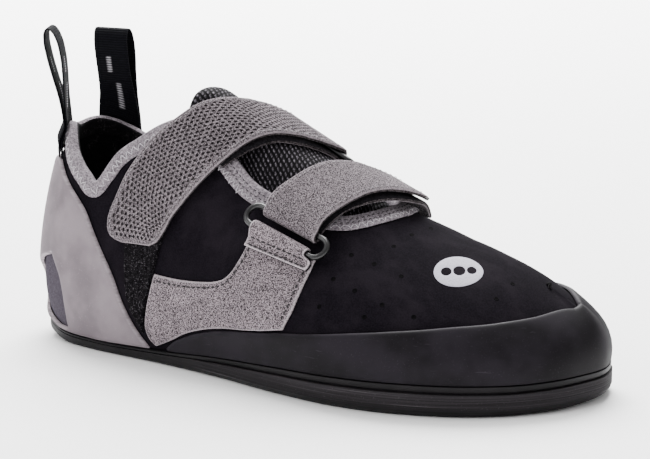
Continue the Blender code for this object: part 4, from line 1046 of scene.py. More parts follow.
def thread(name, dark, light):
    """Twisted sewing thread."""
    look = Look(name, rough=0.7, sheen=0.1, specular=0.3)
    fibre = look.noise(2.4, 2.0, 0.7)
    look.colour(look.mix(look.ramp(fibre, 0.35, 0.65), dark, light))
    look.bump(fibre, 0.05, 0.6)
    return look.mat


def print_ink(name, base, dark):
    """A thin matt transfer print."""
    look = Look(name, rough=0.6, specular=0.35)
    speck = look.noise(1.8, 2.0, 0.7)
    look.colour(look.mix(look.ramp(speck, 0.40, 0.75), base, dark))
    look.bump(speck, 0.04, 0.5)
    return look.mat


# the last colour of each suede is its paler edge: partly wear, partly a painted highlight
SUEDE = suede("suede_grey", tone(9, 6, 8), tone(66, 58, 62), tone(156, 144, 150), 2.15, tone(178, 168, 173))
SUEDE_STRAP = suede("suede_strap", tone(12, 9, 11), tone(66, 59, 63), tone(134, 125, 130), 2.3,
                    tone(140, 131, 136))
EDGE = felt("strap_edge_grey", tone(16, 14, 16), tone(84, 78, 80))
BACK = felt("strap_backing_black", tone(8, 7, 9), tone(30, 28, 31))
UPPER = microsuede("microsuede_black", tone(9, 7, 11), tone(20, 17, 22), tone(32, 28, 33),
                   (tone(52, 48, 55), tone(74, 69, 77)))
LINING = lining("lining_black", tone(9, 8, 10), tone(58, 54, 56))


# near their edges the rands are paler: scuffs and a painted highlight
RAND_LOOK = rubber("rand_black_rubber", tone(14, 12, 15), tone(28, 25, 30), tone(64, 59, 66), rough=0.58,
                   wear_and_highlight_most=0.30)
HEEL_LOOK = rubber("rand_grey_rubber", tone(98, 90, 95), tone(122, 113, 118), tone(154, 145, 150), rough=0.60,
                   specks=0.35)
# its last colour, near black, is painted shade on the lower bevel
SOLE = outsole_rubber("sole_black_rubber", tone(20, 18, 20), tone(40, 37, 40), tone(86, 82, 85),
                      tone(11, 10, 12))
TAPE = tape("binding_grey", tone(66, 59, 65), tone(120, 112, 119), tone(156, 148, 154))
# the first colour is painted shade in the mesh's openings
KNIT = knit("mesh_black", tone(4, 3, 5), tone(34, 31, 36), tone(110, 105, 112))
PILE = pile("pile_black", tone(6, 5, 7), tone(70, 66, 70))
CUT = felt("suede_cut_edge", tone(84, 76, 80), tone(158, 150, 154))
WEBBING_LOOK = webbing("loop_webbing", tone(3, 3, 6), tone(20, 20, 26), tone(168, 165, 170))
RING = metal("ring_black", tone(12, 11, 13), tone(52, 50, 54))
THREAD_LIGHT = thread("thread_pale", tone(140, 134, 140), tone(200, 195, 200))
THREAD_GREY = thread("thread_grey", tone(104, 98, 101), tone(160, 154, 158))
THREAD_DARK = thread("thread_dark", tone(10, 8, 10), tone(34, 30, 33))
INK = print_ink("toe_print_ink", tone(160, 158, 170), tone(132, 130, 142))
# vent holes: near black, painted shade inside the holes
VENT_PAINTED_SHADE = felt("vent_painted_shade", tone(2, 2, 3), tone(9, 8, 9))
INSOLE_LOOK = felt("insole_grey", tone(70, 68, 70), tone(120, 116, 118))


# stations for the fine meshes, closer where the throat ends
HALF = np.concatenate([
    np.linspace(0, 0.60, 131)[:-1], np.linspace(0.60, 0.71, 45)[:-1], np.linspace(0.71, 1.0, 86),
])
ROUND = np.concatenate([HALF, 2 - HALF[-2:0:-1]])


def opening_edge(t):
    u, side = fold_u(t)
    lat = curve(OPENING["u"], OPENING["lat"], u)
    med = curve(OPENING["u"], OPENING["med"], u)
    return np.where(u >= THROAT_END, 1.0, np.minimum(np.where(side < 0, lat, med), 1.0))


def make_upper():
    """One hollow wall from the lasting margin to the collar, closed over the toes."""
    rows = 62
    half = len(HALF) - 1
    u, _ = fold_u(ROUND)
    v = opening_edge(ROUND)[None, :] * np.linspace(0, 1, rows + 1)[:, None]
    outer = skin(ROUND[None, :], v, 0.0)
    inner = skin(ROUND[None, :], v, -WALL)
    margin = []
    for z in (0.0, WALL):
        plan, _ = outline(ROUND, -MARGIN)
        margin.append(np.concatenate([plan, (margin_height(ROUND) + z)[:, None]], -1)[None])
    plan, _ = outline(ROUND, -WALL)
    inner[0] = np.concatenate([plan, (feather(ROUND) + WALL)[:, None]], -1)
    for k in range(1, half):
        if HALF[k] >= THROAT_END:
            twin = 2 * half - k
            inner[-1, k] = inner[-1, twin] = (inner[-1, k] + inner[-1, twin]) / 2
    t = np.where(ROUND > 1, ROUND - 2, ROUND)[None, :] + 0 * v
    patch = np.clip((0.34 - v) / 0.01, 0, 1) * np.clip((0.18 - np.abs(t)) / 0.01, 0, 1)
    patch = np.concatenate([patch[:1], patch])
    made = Piece()
    a = made.add(np.concatenate([margin[0], outer]), tint=patch, rim=PLAIN_RIM)
    b = made.add(np.concatenate([margin[1], inner]), rim=PLAIN_RIM)
    made.quads(a, True, 0)
    made.quads(b, True, 1)
    made.quads(np.stack([a[0], b[0]]), True, 1)
    for k in range(len(ROUND)):
        n = (k + 1) % len(ROUND)
        if u[k] <= THROAT_END + 1e-9 and u[n] <= THROAT_END + 1e-9:
            made.face((a[-1, k], a[-1, n], b[-1, n], b[-1, k]), 1)
    return made.make("upper_cloth", ["upper"], [UPPER, LINING], "microsuede_black")


def across_grid(rings, heights, count):
    """Rows from the lateral to the medial side. rings: outlines; heights(u, share) fills the middle."""
    half = len(HALF) - 1
    lat = [ring[:half + 1] for ring in rings]
    med = [np.concatenate([ring[:1], ring[half:][::-1]]) for ring in rings]
    share = np.linspace(0, 1, count)[1:-1]
    middle = lat[-1][:, None] * (1 - share[:, None]) + med[-1][:, None] * share[:, None]
    middle[..., 2] = np.array([heights(HALF, s) for s in share]).T
    return np.concatenate([np.stack(lat, 1), middle, np.stack(med[::-1], 1)], 1)


def make_outsole():
    """Sole with a rounded rim, a band sanded in level lines, a groove under the rand and an arch."""
    top = feather(ROUND) - GAP
    floor = underside(ROUND)
    u, _ = fold_u(ROUND)
    tall = top - floor
    lead = np.clip((u - 0.395) / 0.035, 0, 1)
    band = lead * lead * (3 - 2 * lead) * BAND_PROUD
    side = RAND + CURVE_GAP
    profile = [(side - 0.0030, floor, 0.0), (side - 0.0019, floor + 0.0003, 0.0),
               (side - 0.0008, floor + tall * 0.10, 0.0),
               (side - 0.0001 + 0.7 * band, floor + tall * 0.21, 0.0),
               (side + band, floor + tall * BEVEL_SHARE, 0.7)]
    for share in np.linspace(BEVEL_SHARE + 0.03, BAND_SHARE - 0.03, 6):
        profile.append((side + band, floor + tall * share, 1.0))
    profile += [(side + band, floor + tall * BAND_SHARE, 0.8),
                (side + 0.4 * band - 0.0001, floor + tall * (BAND_SHARE + 0.015), 0.0),
                (side - 0.0006, floor + tall * (BAND_SHARE + 0.035), 0.0),
                (side - 0.0003, floor + tall * (BAND_SHARE + 0.06), 0.0),
                (side, floor + tall * (BAND_SHARE + 0.09), 0.0), (side, top - 0.0003, 0.0),
                (side - 0.0004, top, 0.0), (-(MARGIN + CURVE_GAP), margin_height(ROUND) - GAP, 0.0),
                (-(MARGIN + CURVE_GAP), margin_height(ROUND) + WALL, 0.0)]
    rings = []
    tint = []
    for out, z, sanded in profile:
        plan, _ = outline(ROUND, np.broadcast_to(out, ROUND.shape))
        rings.append(np.concatenate([plan, np.asarray(z)[:, None]], -1))
        tint.append(np.full(len(ROUND), sanded) * (0.25 + 0.75 * lead))
    made = Piece()
    grid = made.add(np.array(rings), tint=np.array(tint), rim=PLAIN_RIM)
    made.quads(grid, True)

    def under(station, share):
        return underside(station) * (1 - share) + underside(2 - station) * share

    made.quads(made.add(across_grid([rings[0]], under, 14), rim=PLAIN_RIM))
    made.quads(made.add(across_grid([rings[-1]], bed, 14), rim=PLAIN_RIM))
    return made.make("sole_rubber", ["outsole"], [SOLE], "rubber_black")


def make_insole():
    low = WALL + CURVE_GAP
    edge, _ = outline(ROUND, -WALL - 0.0010)
    inner, _ = outline(ROUND, -MARGIN - CURVE_GAP)
    grids = []
    for z in (low, low + INSOLE):
        rings = [np.concatenate([edge, (feather(ROUND) + z)[:, None]], -1),
                 np.concatenate([inner, (margin_height(ROUND) + z)[:, None]], -1)]
        grids.append(across_grid(rings, lambda station, share, z=z: bed(station, share) + z - WALL, 14))
    return shell(grids[1], grids[0]).make("insole_cloth", ["insole"], [INSOLE_LOOK], "insole_grey")


def make_tongue():
    """A padded tongue: its sides lie under the upper, its middle fills the throat."""
    keys = np.arange(len(TONGUE_ROWS["u"]))
    q = np.linspace(0, keys[-1], 121)
    us, half, crown = (curve(keys, TONGUE_ROWS[name], q)[:, None] for name in ("u", "half", "crown"))
    crown = crown * 1e-3
    c = np.linspace(-1, 1, 61)[None, :]
    w = c * half
    opening = 1 - (curve(OPENING["u"], OPENING["lat"], us) + curve(OPENING["u"], OPENING["med"], us)) / 2
    opening = np.maximum(opening, 0.10)
    r = np.clip((np.abs(w) / (opening * 0.97) - 0.30) / 0.70, 0, 1)
    swell = 1 - r * r * (3 - 2 * r)
    top = np.minimum(-TUCK + (crown + TUCK) * swell, crown)
    thick = TONGUE * (0.55 + 0.45 * np.cos(c * math.pi / 2)) + 0 * top
    first = skin_uw(us, w, top)
    s = lengths(first)
    x = lengths(first, 1)
    x = x - x[:, 30:31]
    ends = np.minimum(s, s[-1:] - s)
    tuck = thick * (1 - rounding(ends, 0.0022, 0.15)) / 2
    outer = skin_uw(us, w, top - tuck)
    inner = skin_uw(us, w, top - thick + tuck)
    made = shell(outer, inner, place=mm(s, x), slots=(0, 1, 0)).make("tongue_pad", ["tongue"], [KNIT, LINING],
                                                                    "mesh_black", sharp=70)
    return made


def make_toe_rand():
    inner_t = ROUND[(ROUND > TOE_RAND["t"][0] + 0.002) & (ROUND < TOE_RAND["t"][-1] - 0.002)]
    t = np.concatenate([[TOE_RAND["t"][0]], inner_t, [TOE_RAND["t"][-1]]])
    top = curve(TOE_RAND["t"], TOE_RAND["top"], t)
    share = np.array([0, 0.06, 0.14, 0.24, 0.36, 0.48, 0.60, 0.71, 0.80, 0.87, 0.92, 0.955, 0.98, 1.0])
    v = share[:, None] * top[None, :]
    plain = rand_skin(t[None, :], v, CURVE_GAP)
    rise = lengths(plain)
    from_top = rise[-1:] - rise
    run = lengths(plain, 1)
    from_end = np.minimum(run, run[:, -1:] - run)
    thick = RAND * rounding(from_top, 0.0020, 0.30) * rounding(from_end, 0.006, 0.25)
    outer = rand_skin(t[None, :], v, CURVE_GAP + thick)
    inner = rand_skin(t[None, :], v, CURVE_GAP + 0 * v)
    for grid, out in ((outer, CURVE_GAP + thick[0]), (inner, CURVE_GAP + 0 * t)):
        plan, _ = outline(t, out)
        grid[0, :, :2] = plan
    made = shell(outer, inner, rim=from_top * 1e3, place=mm(run, rise))
    return made.make("toe_rand_rubber", ["toe_rand"], [RAND_LOOK], "rubber_black")


def make_heel_rand():
    edge = loop_of(both_ways(HEEL_RAND_EDGE), 0.0015)
    window = loop_of(HEEL_WINDOW, 0.0013)
    windows = [window, window * [-1, 1]]
    made = sheet(rand_skin, edge, windows, 0.0021, 0.0006, 0.0019, radius=0.0014, least=0.35)
    return made.make("heel_rand_rubber", ["heel_rand"], [HEEL_LOOK, HEEL_LOOK], "rubber_grey")


def make_panels():
    for name, points in (("lateral_panel", LATERAL_PANEL), ("medial_panel", MEDIAL_PANEL)):
        made = sheet(skin_uw, loop_of(points, 0.0012), [], 0.0019, SEWN_FOOT, PANEL_FACE, radius=0.0009,
                     least=0.40)
        made.make(name + "_suede", [name], [SUEDE, CUT], "suede_grey")
    outer = loop_of(LOOP_STRIP, 0.0012)
    made = sheet(skin_uw, outer, [], 0.0013, SEWN_FOOT, 0.0013, radius=0.0008, least=0.5)
    top = made.points[0]
    rng = np.random.default_rng(5)
    made.points[0] = top + rng.normal(0, 0.00022, top.shape) * (made.marks["rim"][0] > 0.2)[:, None]
    made.make("loop_strip_pile", ["loop_strip"], [PILE, PILE], "pile_black")


def binding_frame(surface, path, leg, beyond):
    """Along a cut edge: the point, the way off the edge, and the leg's reach in (a, b)."""
    e = 1e-3
    a, b = path.T
    here = surface(a, b, 0.0)
    sa = (surface(a + e, b, 0.0) - surface(a - e, b, 0.0)) / (2 * e)
    sb = (surface(a, b + e, 0.0) - surface(a, b - e, 0.0)) / (2 * e)
    normal = np.cross(sa, sb)
    normal /= np.linalg.norm(normal, axis=-1, keepdims=True)
    guide = sa * beyond[:, :1] + sb * beyond[:, 1:]
    tangent = np.gradient(here, axis=0)
    off_edge = np.cross(tangent, normal)
    off_edge /= np.linalg.norm(off_edge, axis=-1, keepdims=True)
    off_edge *= np.sign((off_edge * guide).sum(-1, keepdims=True))
    down = np.array([np.linalg.lstsq(np.stack([p, q], -1), -o * leg, rcond=None)[0]
                     for p, q, o in zip(sa, sb, off_edge)])
    return here, off_edge, down


def make_binding(name, node, surface, path, leg, beyond, dark_from):
    """Tape folded over the upper's edge, a little full between its stitches."""
    here, off_edge, down = binding_frame(surface, path, leg, beyond)
    a, b = path.T
    out_in = SEWN_FOOT
    in_out = -WALL - LINING_GAP
    s = lengths(here)
    full = 1 + 0.10 * np.sin(s * 2 * math.pi / 0.0034)
    rows = []
    across = []

    def row(share, off, lift=0.0, q=0.0):
        p = surface(a + down[:, 0] * share, b + down[:, 1] * share, off)
        rows.append(p + off_edge * (np.asarray(lift) + 0 * s)[:, None])
        across.append(q)

    row(1.0, out_in, q=leg)
    for share in (1.0, 0.93, 0.80, 0.62, 0.42, 0.22, 0.06):
        puff = 0.40 + 0.60 * math.sin(math.pi * min(1, (1.06 - share) / 0.55) / 2)
        row(share, out_in + BIND * puff * full, q=share * leg)
    thick = (out_in + BIND + WALL + LINING_GAP + BIND) / 2
    middle = (out_in + BIND - WALL - LINING_GAP - BIND) / 2
    for angle in (12, 35, 60, 90, 120, 145, 168):
        turn = math.radians(angle)
        row(0.0, middle + thick * math.cos(turn) + 0 * a, GAP + 0.0010 * math.sin(turn), q=-angle * 2e-5)
    for share in (0.1, 0.45, 0.8, 1.0):
        row(share, in_out - BIND * (0.6 if share == 1.0 else 1.0) + 0 * a, q=-share * leg)
    row(1.0, in_out + 0 * a, q=-leg)
    row(0.0, in_out + 0 * a, GAP, q=0.0)
    row(0.0, out_in + 0 * a, GAP, q=0.0)
    grid = np.stack(rows, 1)
    made = Piece()
    place = mm(s[:, None] + 0 * grid[..., 0], np.array(across)[None, :])
    numbers = made.add(grid, place=place, rim=PLAIN_RIM)
    turn = 8 + dark_from
    made.quads(numbers[:, :turn + 1])
    made.quads(np.concatenate([numbers[:, turn:], numbers[:, :1]], 1), slot=1)
    made.face(numbers[0])
    made.face(numbers[-1][::-1])
    made.make(name, [node], [TAPE, LINING], "tape_grey", sharp=60)
    return here, s, down


def zigzag(surface, path, down, s, rows, pitch, off):
    """Stitches that run to and fro between two rows of a binding."""
    rng = np.random.default_rng(9)
    steps = np.arange(0.001, s[-1] - 0.001, pitch)
    share = np.where(np.arange(len(steps)) % 2 == 0, rows[0], rows[1]) + rng.normal(0, 0.05, len(steps))
    steps = steps + rng.normal(0, 0.12 * pitch, len(steps))
    a = np.interp(steps, s, path[:, 0]) + np.interp(steps, s, down[:, 0]) * share
    b = np.interp(steps, s, path[:, 1]) + np.interp(steps, s, down[:, 1]) * share
    points, normals = on_surface(surface, np.stack([a, b], -1), off)
    return points[:-1], points[1:], (normals[:-1] + normals[1:]) / 2


def make_bindings():
    t = np.linspace(-0.400, 0.400, 321)
    v = opening_edge(np.mod(t, 2.0))
    path = np.stack([t, v], -1)
    up = np.tile([0.0, 1.0], (len(t), 1))
    _, s, down = make_binding("collar_tape", "collar_binding", skin, path, BIND_LEG, up, 4)
    rows = zigzag(skin, path, down, s, (0.30, 0.76), 0.0017, SEWN_FOOT + BIND + TAPE_STITCH_LIFT)
    stitches("collar_zigzag", *rows, [THREAD_LIGHT], radius=0.00018)
    us = np.concatenate([np.linspace(0.388, 0.66, 90)[:-1], np.linspace(0.66, THROAT_END, 40)])
    lat = opening_edge(us) - 1
    med = 1 - opening_edge(2 - us)
    path = np.concatenate([np.stack([us, lat], -1), np.stack([us, med], -1)[-2::-1]])
    inward = np.stack([np.full(len(path), -0.02), -np.sign(path[:, 1])], -1)
    inward[np.abs(path[:, 1]) < 1e-6] = (-1.0, 0.0)
    smooth = lengths(skin_uw(*path.T))
    keep = np.concatenate([[True], np.diff(smooth) > 1e-5])
    path, inward, smooth = path[keep], inward[keep], smooth[keep]
    q = np.linspace(0, smooth[-1], 260)
    path = np.stack([np.interp(q, smooth, path[:, k]) for k in range(2)], -1)
    inward = np.stack([np.interp(q, smooth, inward[:, k]) for k in range(2)], -1)
    _, s, down = make_binding("throat_tape", "throat_binding", skin_uw, path, THROAT_LEG, inward, 6)
    rows = zigzag(skin_uw, path, down, s, (0.66, 0.95), 0.0013, SEWN_FOOT + BIND * 0.95)
    stitches("throat_zigzag", *rows, [THREAD_LIGHT], radius=0.00015)
    for number, share in enumerate((0.28, 0.55)):
        line = path + down * share
        points, normals = on_surface(skin_uw, line, SEWN_FOOT + BIND + TAPE_STITCH_LIFT)
        rows = run_of(points, normals, 0.0016, 0.0009)
        stitches(f"throat_row_{number + 1}", *rows, [THREAD_DARK], radius=0.00020)


# straps

class Band:
    """The middle surface of a strap: its upper layer, the turn round the ring and the layer below."""

    def __init__(self, over, under, across=17):
        def layer(rows):
            keys = np.arange(len(rows["lift"]))
            q = np.linspace(0, keys[-1], keys[-1] * 9 + 1)
            value = {name: curve(keys, rows[name], q)[:, None] for name in rows}
            c = np.linspace(0, 1, across)[None, :]
            u = value["u_back"] * (1 - c) + value["u_front"] * c
            w = value["w_back"] * (1 - c) + value["w_front"] * c
            return skin_uw(u, w, value["lift"] * 1e-3 + 0 * u)

        top, low = layer(over), layer(under)
        c = np.linspace(0, 1, across)[:, None]
        for rows in (top[::-1], low):
            s = lengths(rows)[:, across // 2]
            for k in range(len(rows)):
                near = np.clip(1 - s[k] / 0.009, 0, 1)
                if near > 0:
                    near = near * near * (3 - 2 * near)
                    line = rows[k, 0] * (1 - c) + rows[k, -1] * c
                    rows[k] = rows[k] * (1 - near) + (line + (rows[k] - line).mean(0)) * near
        middle = (top[-1] + low[0]) / 2
        away = top[-1] - top[-4] + low[0] - low[3]
        spread = top[-1] - low[0]
        radius = np.linalg.norm(spread, axis=-1, keepdims=True) / 2
        spread = spread / (2 * radius)
        bar = (middle[-1] - middle[0]) / np.linalg.norm(middle[-1] - middle[0])
        away -= (away @ bar)[:, None] * bar
        away -= (away * spread).sum(-1, keepdims=True) * spread
        away /= np.linalg.norm(away, axis=-1, keepdims=True)
        turn = [middle + radius * (spread * math.cos(a) + away * math.sin(a))
                for a in np.radians(np.arange(15, 180, 15))]
        self.fold = len(top)
        self.middle = np.concatenate([top, np.array(turn), low])
        self.normal = grid_normals(self.middle)
        mid = len(top) // 2
        up = top[mid, across // 2] - low[-1, across // 2]
        if self.normal[mid, across // 2].dot(np.array([0, 0, 1.0]) + 0 * up) < 0:
            self.normal = -self.normal
        self.s = lengths(self.middle)[:, across // 2]
        self.width = np.linalg.norm(self.middle[:, -1] - self.middle[:, 0], axis=-1)
        self.across = across
        self.seat = (middle, away, spread)

    def at(self, a, b, off=0.0):
        """A point at a along and b across, in metres, off above the middle."""
        a, b, off = np.broadcast_arrays(np.asarray(a, float), np.asarray(b, float), np.asarray(off, float))
        row = np.interp(a, self.s, np.arange(len(self.s)))
        wide = np.interp(a, self.s, self.width)
        col = np.clip(0.5 + b / wide, 0, 1) * (self.across - 1)
        i = np.clip(row.astype(int), 0, len(self.s) - 2)
        j = np.clip(col.astype(int), 0, self.across - 2)
        p, q = (row - i)[..., None], (col - j)[..., None]

        def read(grid):
            return ((grid[i, j] * (1 - q) + grid[i, j + 1] * q) * (1 - p)
                    + (grid[i + 1, j] * (1 - q) + grid[i + 1, j + 1] * q) * p)

        return read(self.middle) + read(self.normal) * off[..., None]

    def outline(self, first, last, step=0.0013, shrink=0.0):
        """Closed outline in (along, across)."""
        count = int((last - first) / step)
        s = np.linspace(first, last, count)
        half = np.interp(s, self.s, self.width) / 2 - shrink
        end = np.arange(-half[-1] + step, half[-1] - step / 2, step)
        start = np.arange(half[0] - step, -half[0] + step / 2, -step)
        return np.concatenate([np.stack([s, -half], -1), np.stack([end * 0 + last, end], -1),
                               np.stack([s, half], -1)[::-1], np.stack([start * 0 + first, start], -1)])


ONE = np.array([1.0, 1.0])


def make_strap(name, band, perforated):
    """A suede face over a darker backing. The face has punched holes where the strap is perforated."""
    face = STRAP_FACE
    half = STRAP / 2
    last = band.s[-1] - 0.0002
    cuts = []
    if perforated:
        stop = band.s[band.fold - 1] - 0.004
        for n, s in enumerate(np.arange(0.0035, stop, PUNCH_STEP)):
            reach = np.interp(s, band.s, band.width) / 2 - 0.0030
            xs = np.arange(-0.020 + (n % 2) * PUNCH_PITCH / 2, 0.020, PUNCH_PITCH)
            for x in xs[np.abs(xs) < reach]:
                turn = np.radians(np.arange(0, 360, 45))
                cuts.append(np.stack([s + PUNCH * np.cos(turn), x + PUNCH * np.sin(turn)], -1))
    made = sheet(lambda a, b, off: band.at(a, b, off), band.outline(0.0, last), [], 0.0022, half - face, face,
                 scale=ONE, radius=0.0007, least=0.4, cuts=cuts, rings=(0.0003, 0.0008))
    made.make(name + "_suede", [name], [SUEDE_STRAP, EDGE], "suede_grey")
    c = np.linspace(-0.5, 0.5, 25)[None, :]
    inner = np.arange(0.0018, last - 0.001, 0.0013)
    s = np.concatenate([[0.0001, 0.0004, 0.0009], inner, [last - 0.0004, last]])[:, None]
    wide = np.interp(s, band.s, band.width)
    x = c * (wide - 0.0001)
    rim = np.minimum(wide / 2 - np.abs(x), np.minimum(s, band.s[-1] - s))
    top = half - face - LAYER_GAP
    low = top - (STRAP - face - LAYER_GAP) * rounding(rim, 0.0007, 0.5)
    made = shell(band.at(s, x, top), band.at(s, x, low), place=mm(s, x), rim=rim * 1e3, slots=(1, 0, 1))
    made.make(name + "_backing", [name], [BACK, EDGE], "suede_grey")
    stop = band.s[band.fold - 1] - 0.001
    s = np.arange(0.003, stop, 0.0008)
    edge = np.interp(s, band.s, band.width) / 2 - 0.0019
    for side, number in ((-1, 1), (1, 2)):
        points = band.at(s, side * edge, half + STITCH_LIFT)
        normals = band.at(s, side * edge, half + 0.001) - points
        normals /= np.linalg.norm(normals, axis=1, keepdims=True)
        rows = run_of(points, normals, 0.0016, 0.0008)
        stitches(f"{name}_row_{number}", *rows, [THREAD_GREY], radius=0.00017, slot="suede_grey")


# where the ring's lower bar rests over the upper, and the line where the tab is sewn down, in (u, w)
RING_REST = {"lateral": (0.583, -0.505), "medial": (0.522, 0.215)}
TAB_END = {"lateral": (0.512, -0.568, 0.625, -0.572), "medial": (0.475, 0.500, 0.590, 0.500)}
TAB_STEPS = {"lateral": (0.55,), "medial": (0.3, 0.5, 0.75)}     # rows between them


def ring_frame(seat, rest):
    """Middle of the ring, its long axis, the way to the sole and the way out."""
    middle, _, spread = seat
    along = middle[-1] - middle[0]
    length = np.linalg.norm(along)
    along /= length
    down = skin_uw(*rest, BAR_HEIGHT) - middle.mean(0)
    down -= down.dot(along) * along
    down /= np.linalg.norm(down)
    outwards = np.cross(along, down)
    outwards *= np.sign(outwards.dot(spread.mean(0)))
    centre = middle.mean(0) + down * (RING_WIDTH - WIRE) / 2
    return centre, along, down, outwards, length


def make_ring(side, seat):
    """A long ring of round wire: two bars joined by half circles."""
    centre, along, down, outwards, length = ring_frame(seat, RING_REST[side])
    radius = (RING_WIDTH - WIRE) / 2
    straight = length / 2 + RING_SPARE
    path = []
    for end in (1, -1):
        for a in np.radians(np.linspace(-90, 90, 17)) * end:
            reach = straight + radius * math.cos(a)
            path.append(centre + along * end * reach + down * radius * math.sin(a))
        for q in np.linspace(1, -1, 11)[1:-1]:
            path.append(centre + along * end * straight * q + down * radius * end)
    path = np.array(path)
    heading = np.roll(path, -1, 0) - np.roll(path, 1, 0)
    heading /= np.linalg.norm(heading, axis=1, keepdims=True)
    across = np.cross(heading, outwards)
    turn = np.linspace(0, 2 * math.pi, 17)[:-1, None]
    grid = path[:, None] + WIRE / 2 * (outwards * np.cos(turn)[None] + across[:, None] * np.sin(turn)[None])
    made = Piece()
    numbers = made.add(grid, rim=PLAIN_RIM)
    made.quads(np.concatenate([numbers, numbers[:1]]), wrap=True)
    return made.make(side + "_ring_wire", [side + "_ring"], [RING], "ring_black")


def tab_rows(side, seat, count, turns):
    """The tab's middle: from its sewn inner end, round the ring's lower bar, to its sewn outer end."""
    centre, along, down, outwards, length = ring_frame(seat, RING_REST[side])
    bar = centre + down * (RING_WIDTH - WIRE) / 2
    radius = WIRE / 2 + GAP + TAB / 2
    c = np.linspace(0, 1, count)
    u_back, w_back, u_front, w_front = TAB_END[side]
    u, w = u_back * (1 - c) + u_front * c, w_back * (1 - c) + w_front * c
    low = CURVE_GAP + PANEL + CURVE_GAP + TAB / 2
    low_end = skin_uw(u, w, low)
    rest_u, rest_w = RING_REST[side]
    between = []
    for share in TAB_STEPS[side]:
        spot = (rest_u + (c - 0.5) * (u_front - u_back)) * (1 - share) + u * share
        between.append((spot, rest_w * (1 - share) + w * share, 0.0010 * (1 - share)))
    axis = bar + along * (c[:, None] - 0.5) * (length + 2 * TAB_SPARE)
    way = low_end - axis
    way -= (way @ along)[:, None] * along
    way /= np.linalg.norm(way, axis=1, keepdims=True)
    out = np.cross(along, way)
    out *= np.sign(out @ outwards)[:, None]
    top = TAB + CURVE_GAP
    rows = [low_end] + [skin_uw(a, b, low + rise) for a, b, rise in reversed(between)]
    rows += [axis - way * radius * math.sin(a) - out * radius * math.cos(a) for a in np.radians(turns)]
    rows += [skin_uw(a, b, low + top + 1.6 * rise) for a, b, rise in between] + [skin_uw(u, w, low + top)]
    return np.array(rows)


def make_tab(side, seat):
    """The anchor panel's end, turned round the ring's lower bar and sewn down in two rows."""
    rows = tab_rows(side, seat, 29, range(0, 181, 20))
    s = lengths(rows)
    q = np.linspace(0, s[-1, 14], 64)
    middle = []
    for j in range(29):
        run = s[:, j] / s[-1, j] * s[-1, 14]
        middle.append(np.stack([curve(run, rows[:, j, k], q) for k in range(3)], -1))
    middle = np.stack(middle, 1)
    normal = grid_normals(middle)
    _, _, _, outwards, length = ring_frame(seat, RING_REST[side])
    if normal[-1, 14].dot(outwards) < 0:
        normal = -normal
    x = np.linspace(-0.5, 0.5, 29) * (length + 2 * TAB_SPARE)
    rim = np.minimum(np.minimum(q, s[-1, 14] - q)[:, None], (x[-1] - np.abs(x))[None, :])
    thick = TAB / 2 * rounding(rim, 0.0007, 0.5)[..., None]
    made = shell(middle + normal * thick, middle - normal * thick, place=mm(q[:, None], x[None, :]),
                 rim=rim * 1e3, slots=(0, 2, 1))
    made.make(side + "_ring_tab_suede", [side + "_ring_tab"], [SUEDE, CUT, BACK], "suede_grey")
    step = q[1]
    for number, back in ((1, 0.0011), (2, 0.0042)):
        k = -1 - round(back / step)
        points = middle[k] + normal[k] * (TAB / 2 + STITCH_LIFT)
        rows = run_of(points[1:-1], normal[k][1:-1], 0.0020, 0.0007)
        stitches(f"{side}_ring_tab_row_{number}", *rows, [THREAD_DARK], radius=0.00034, slot="suede_grey")


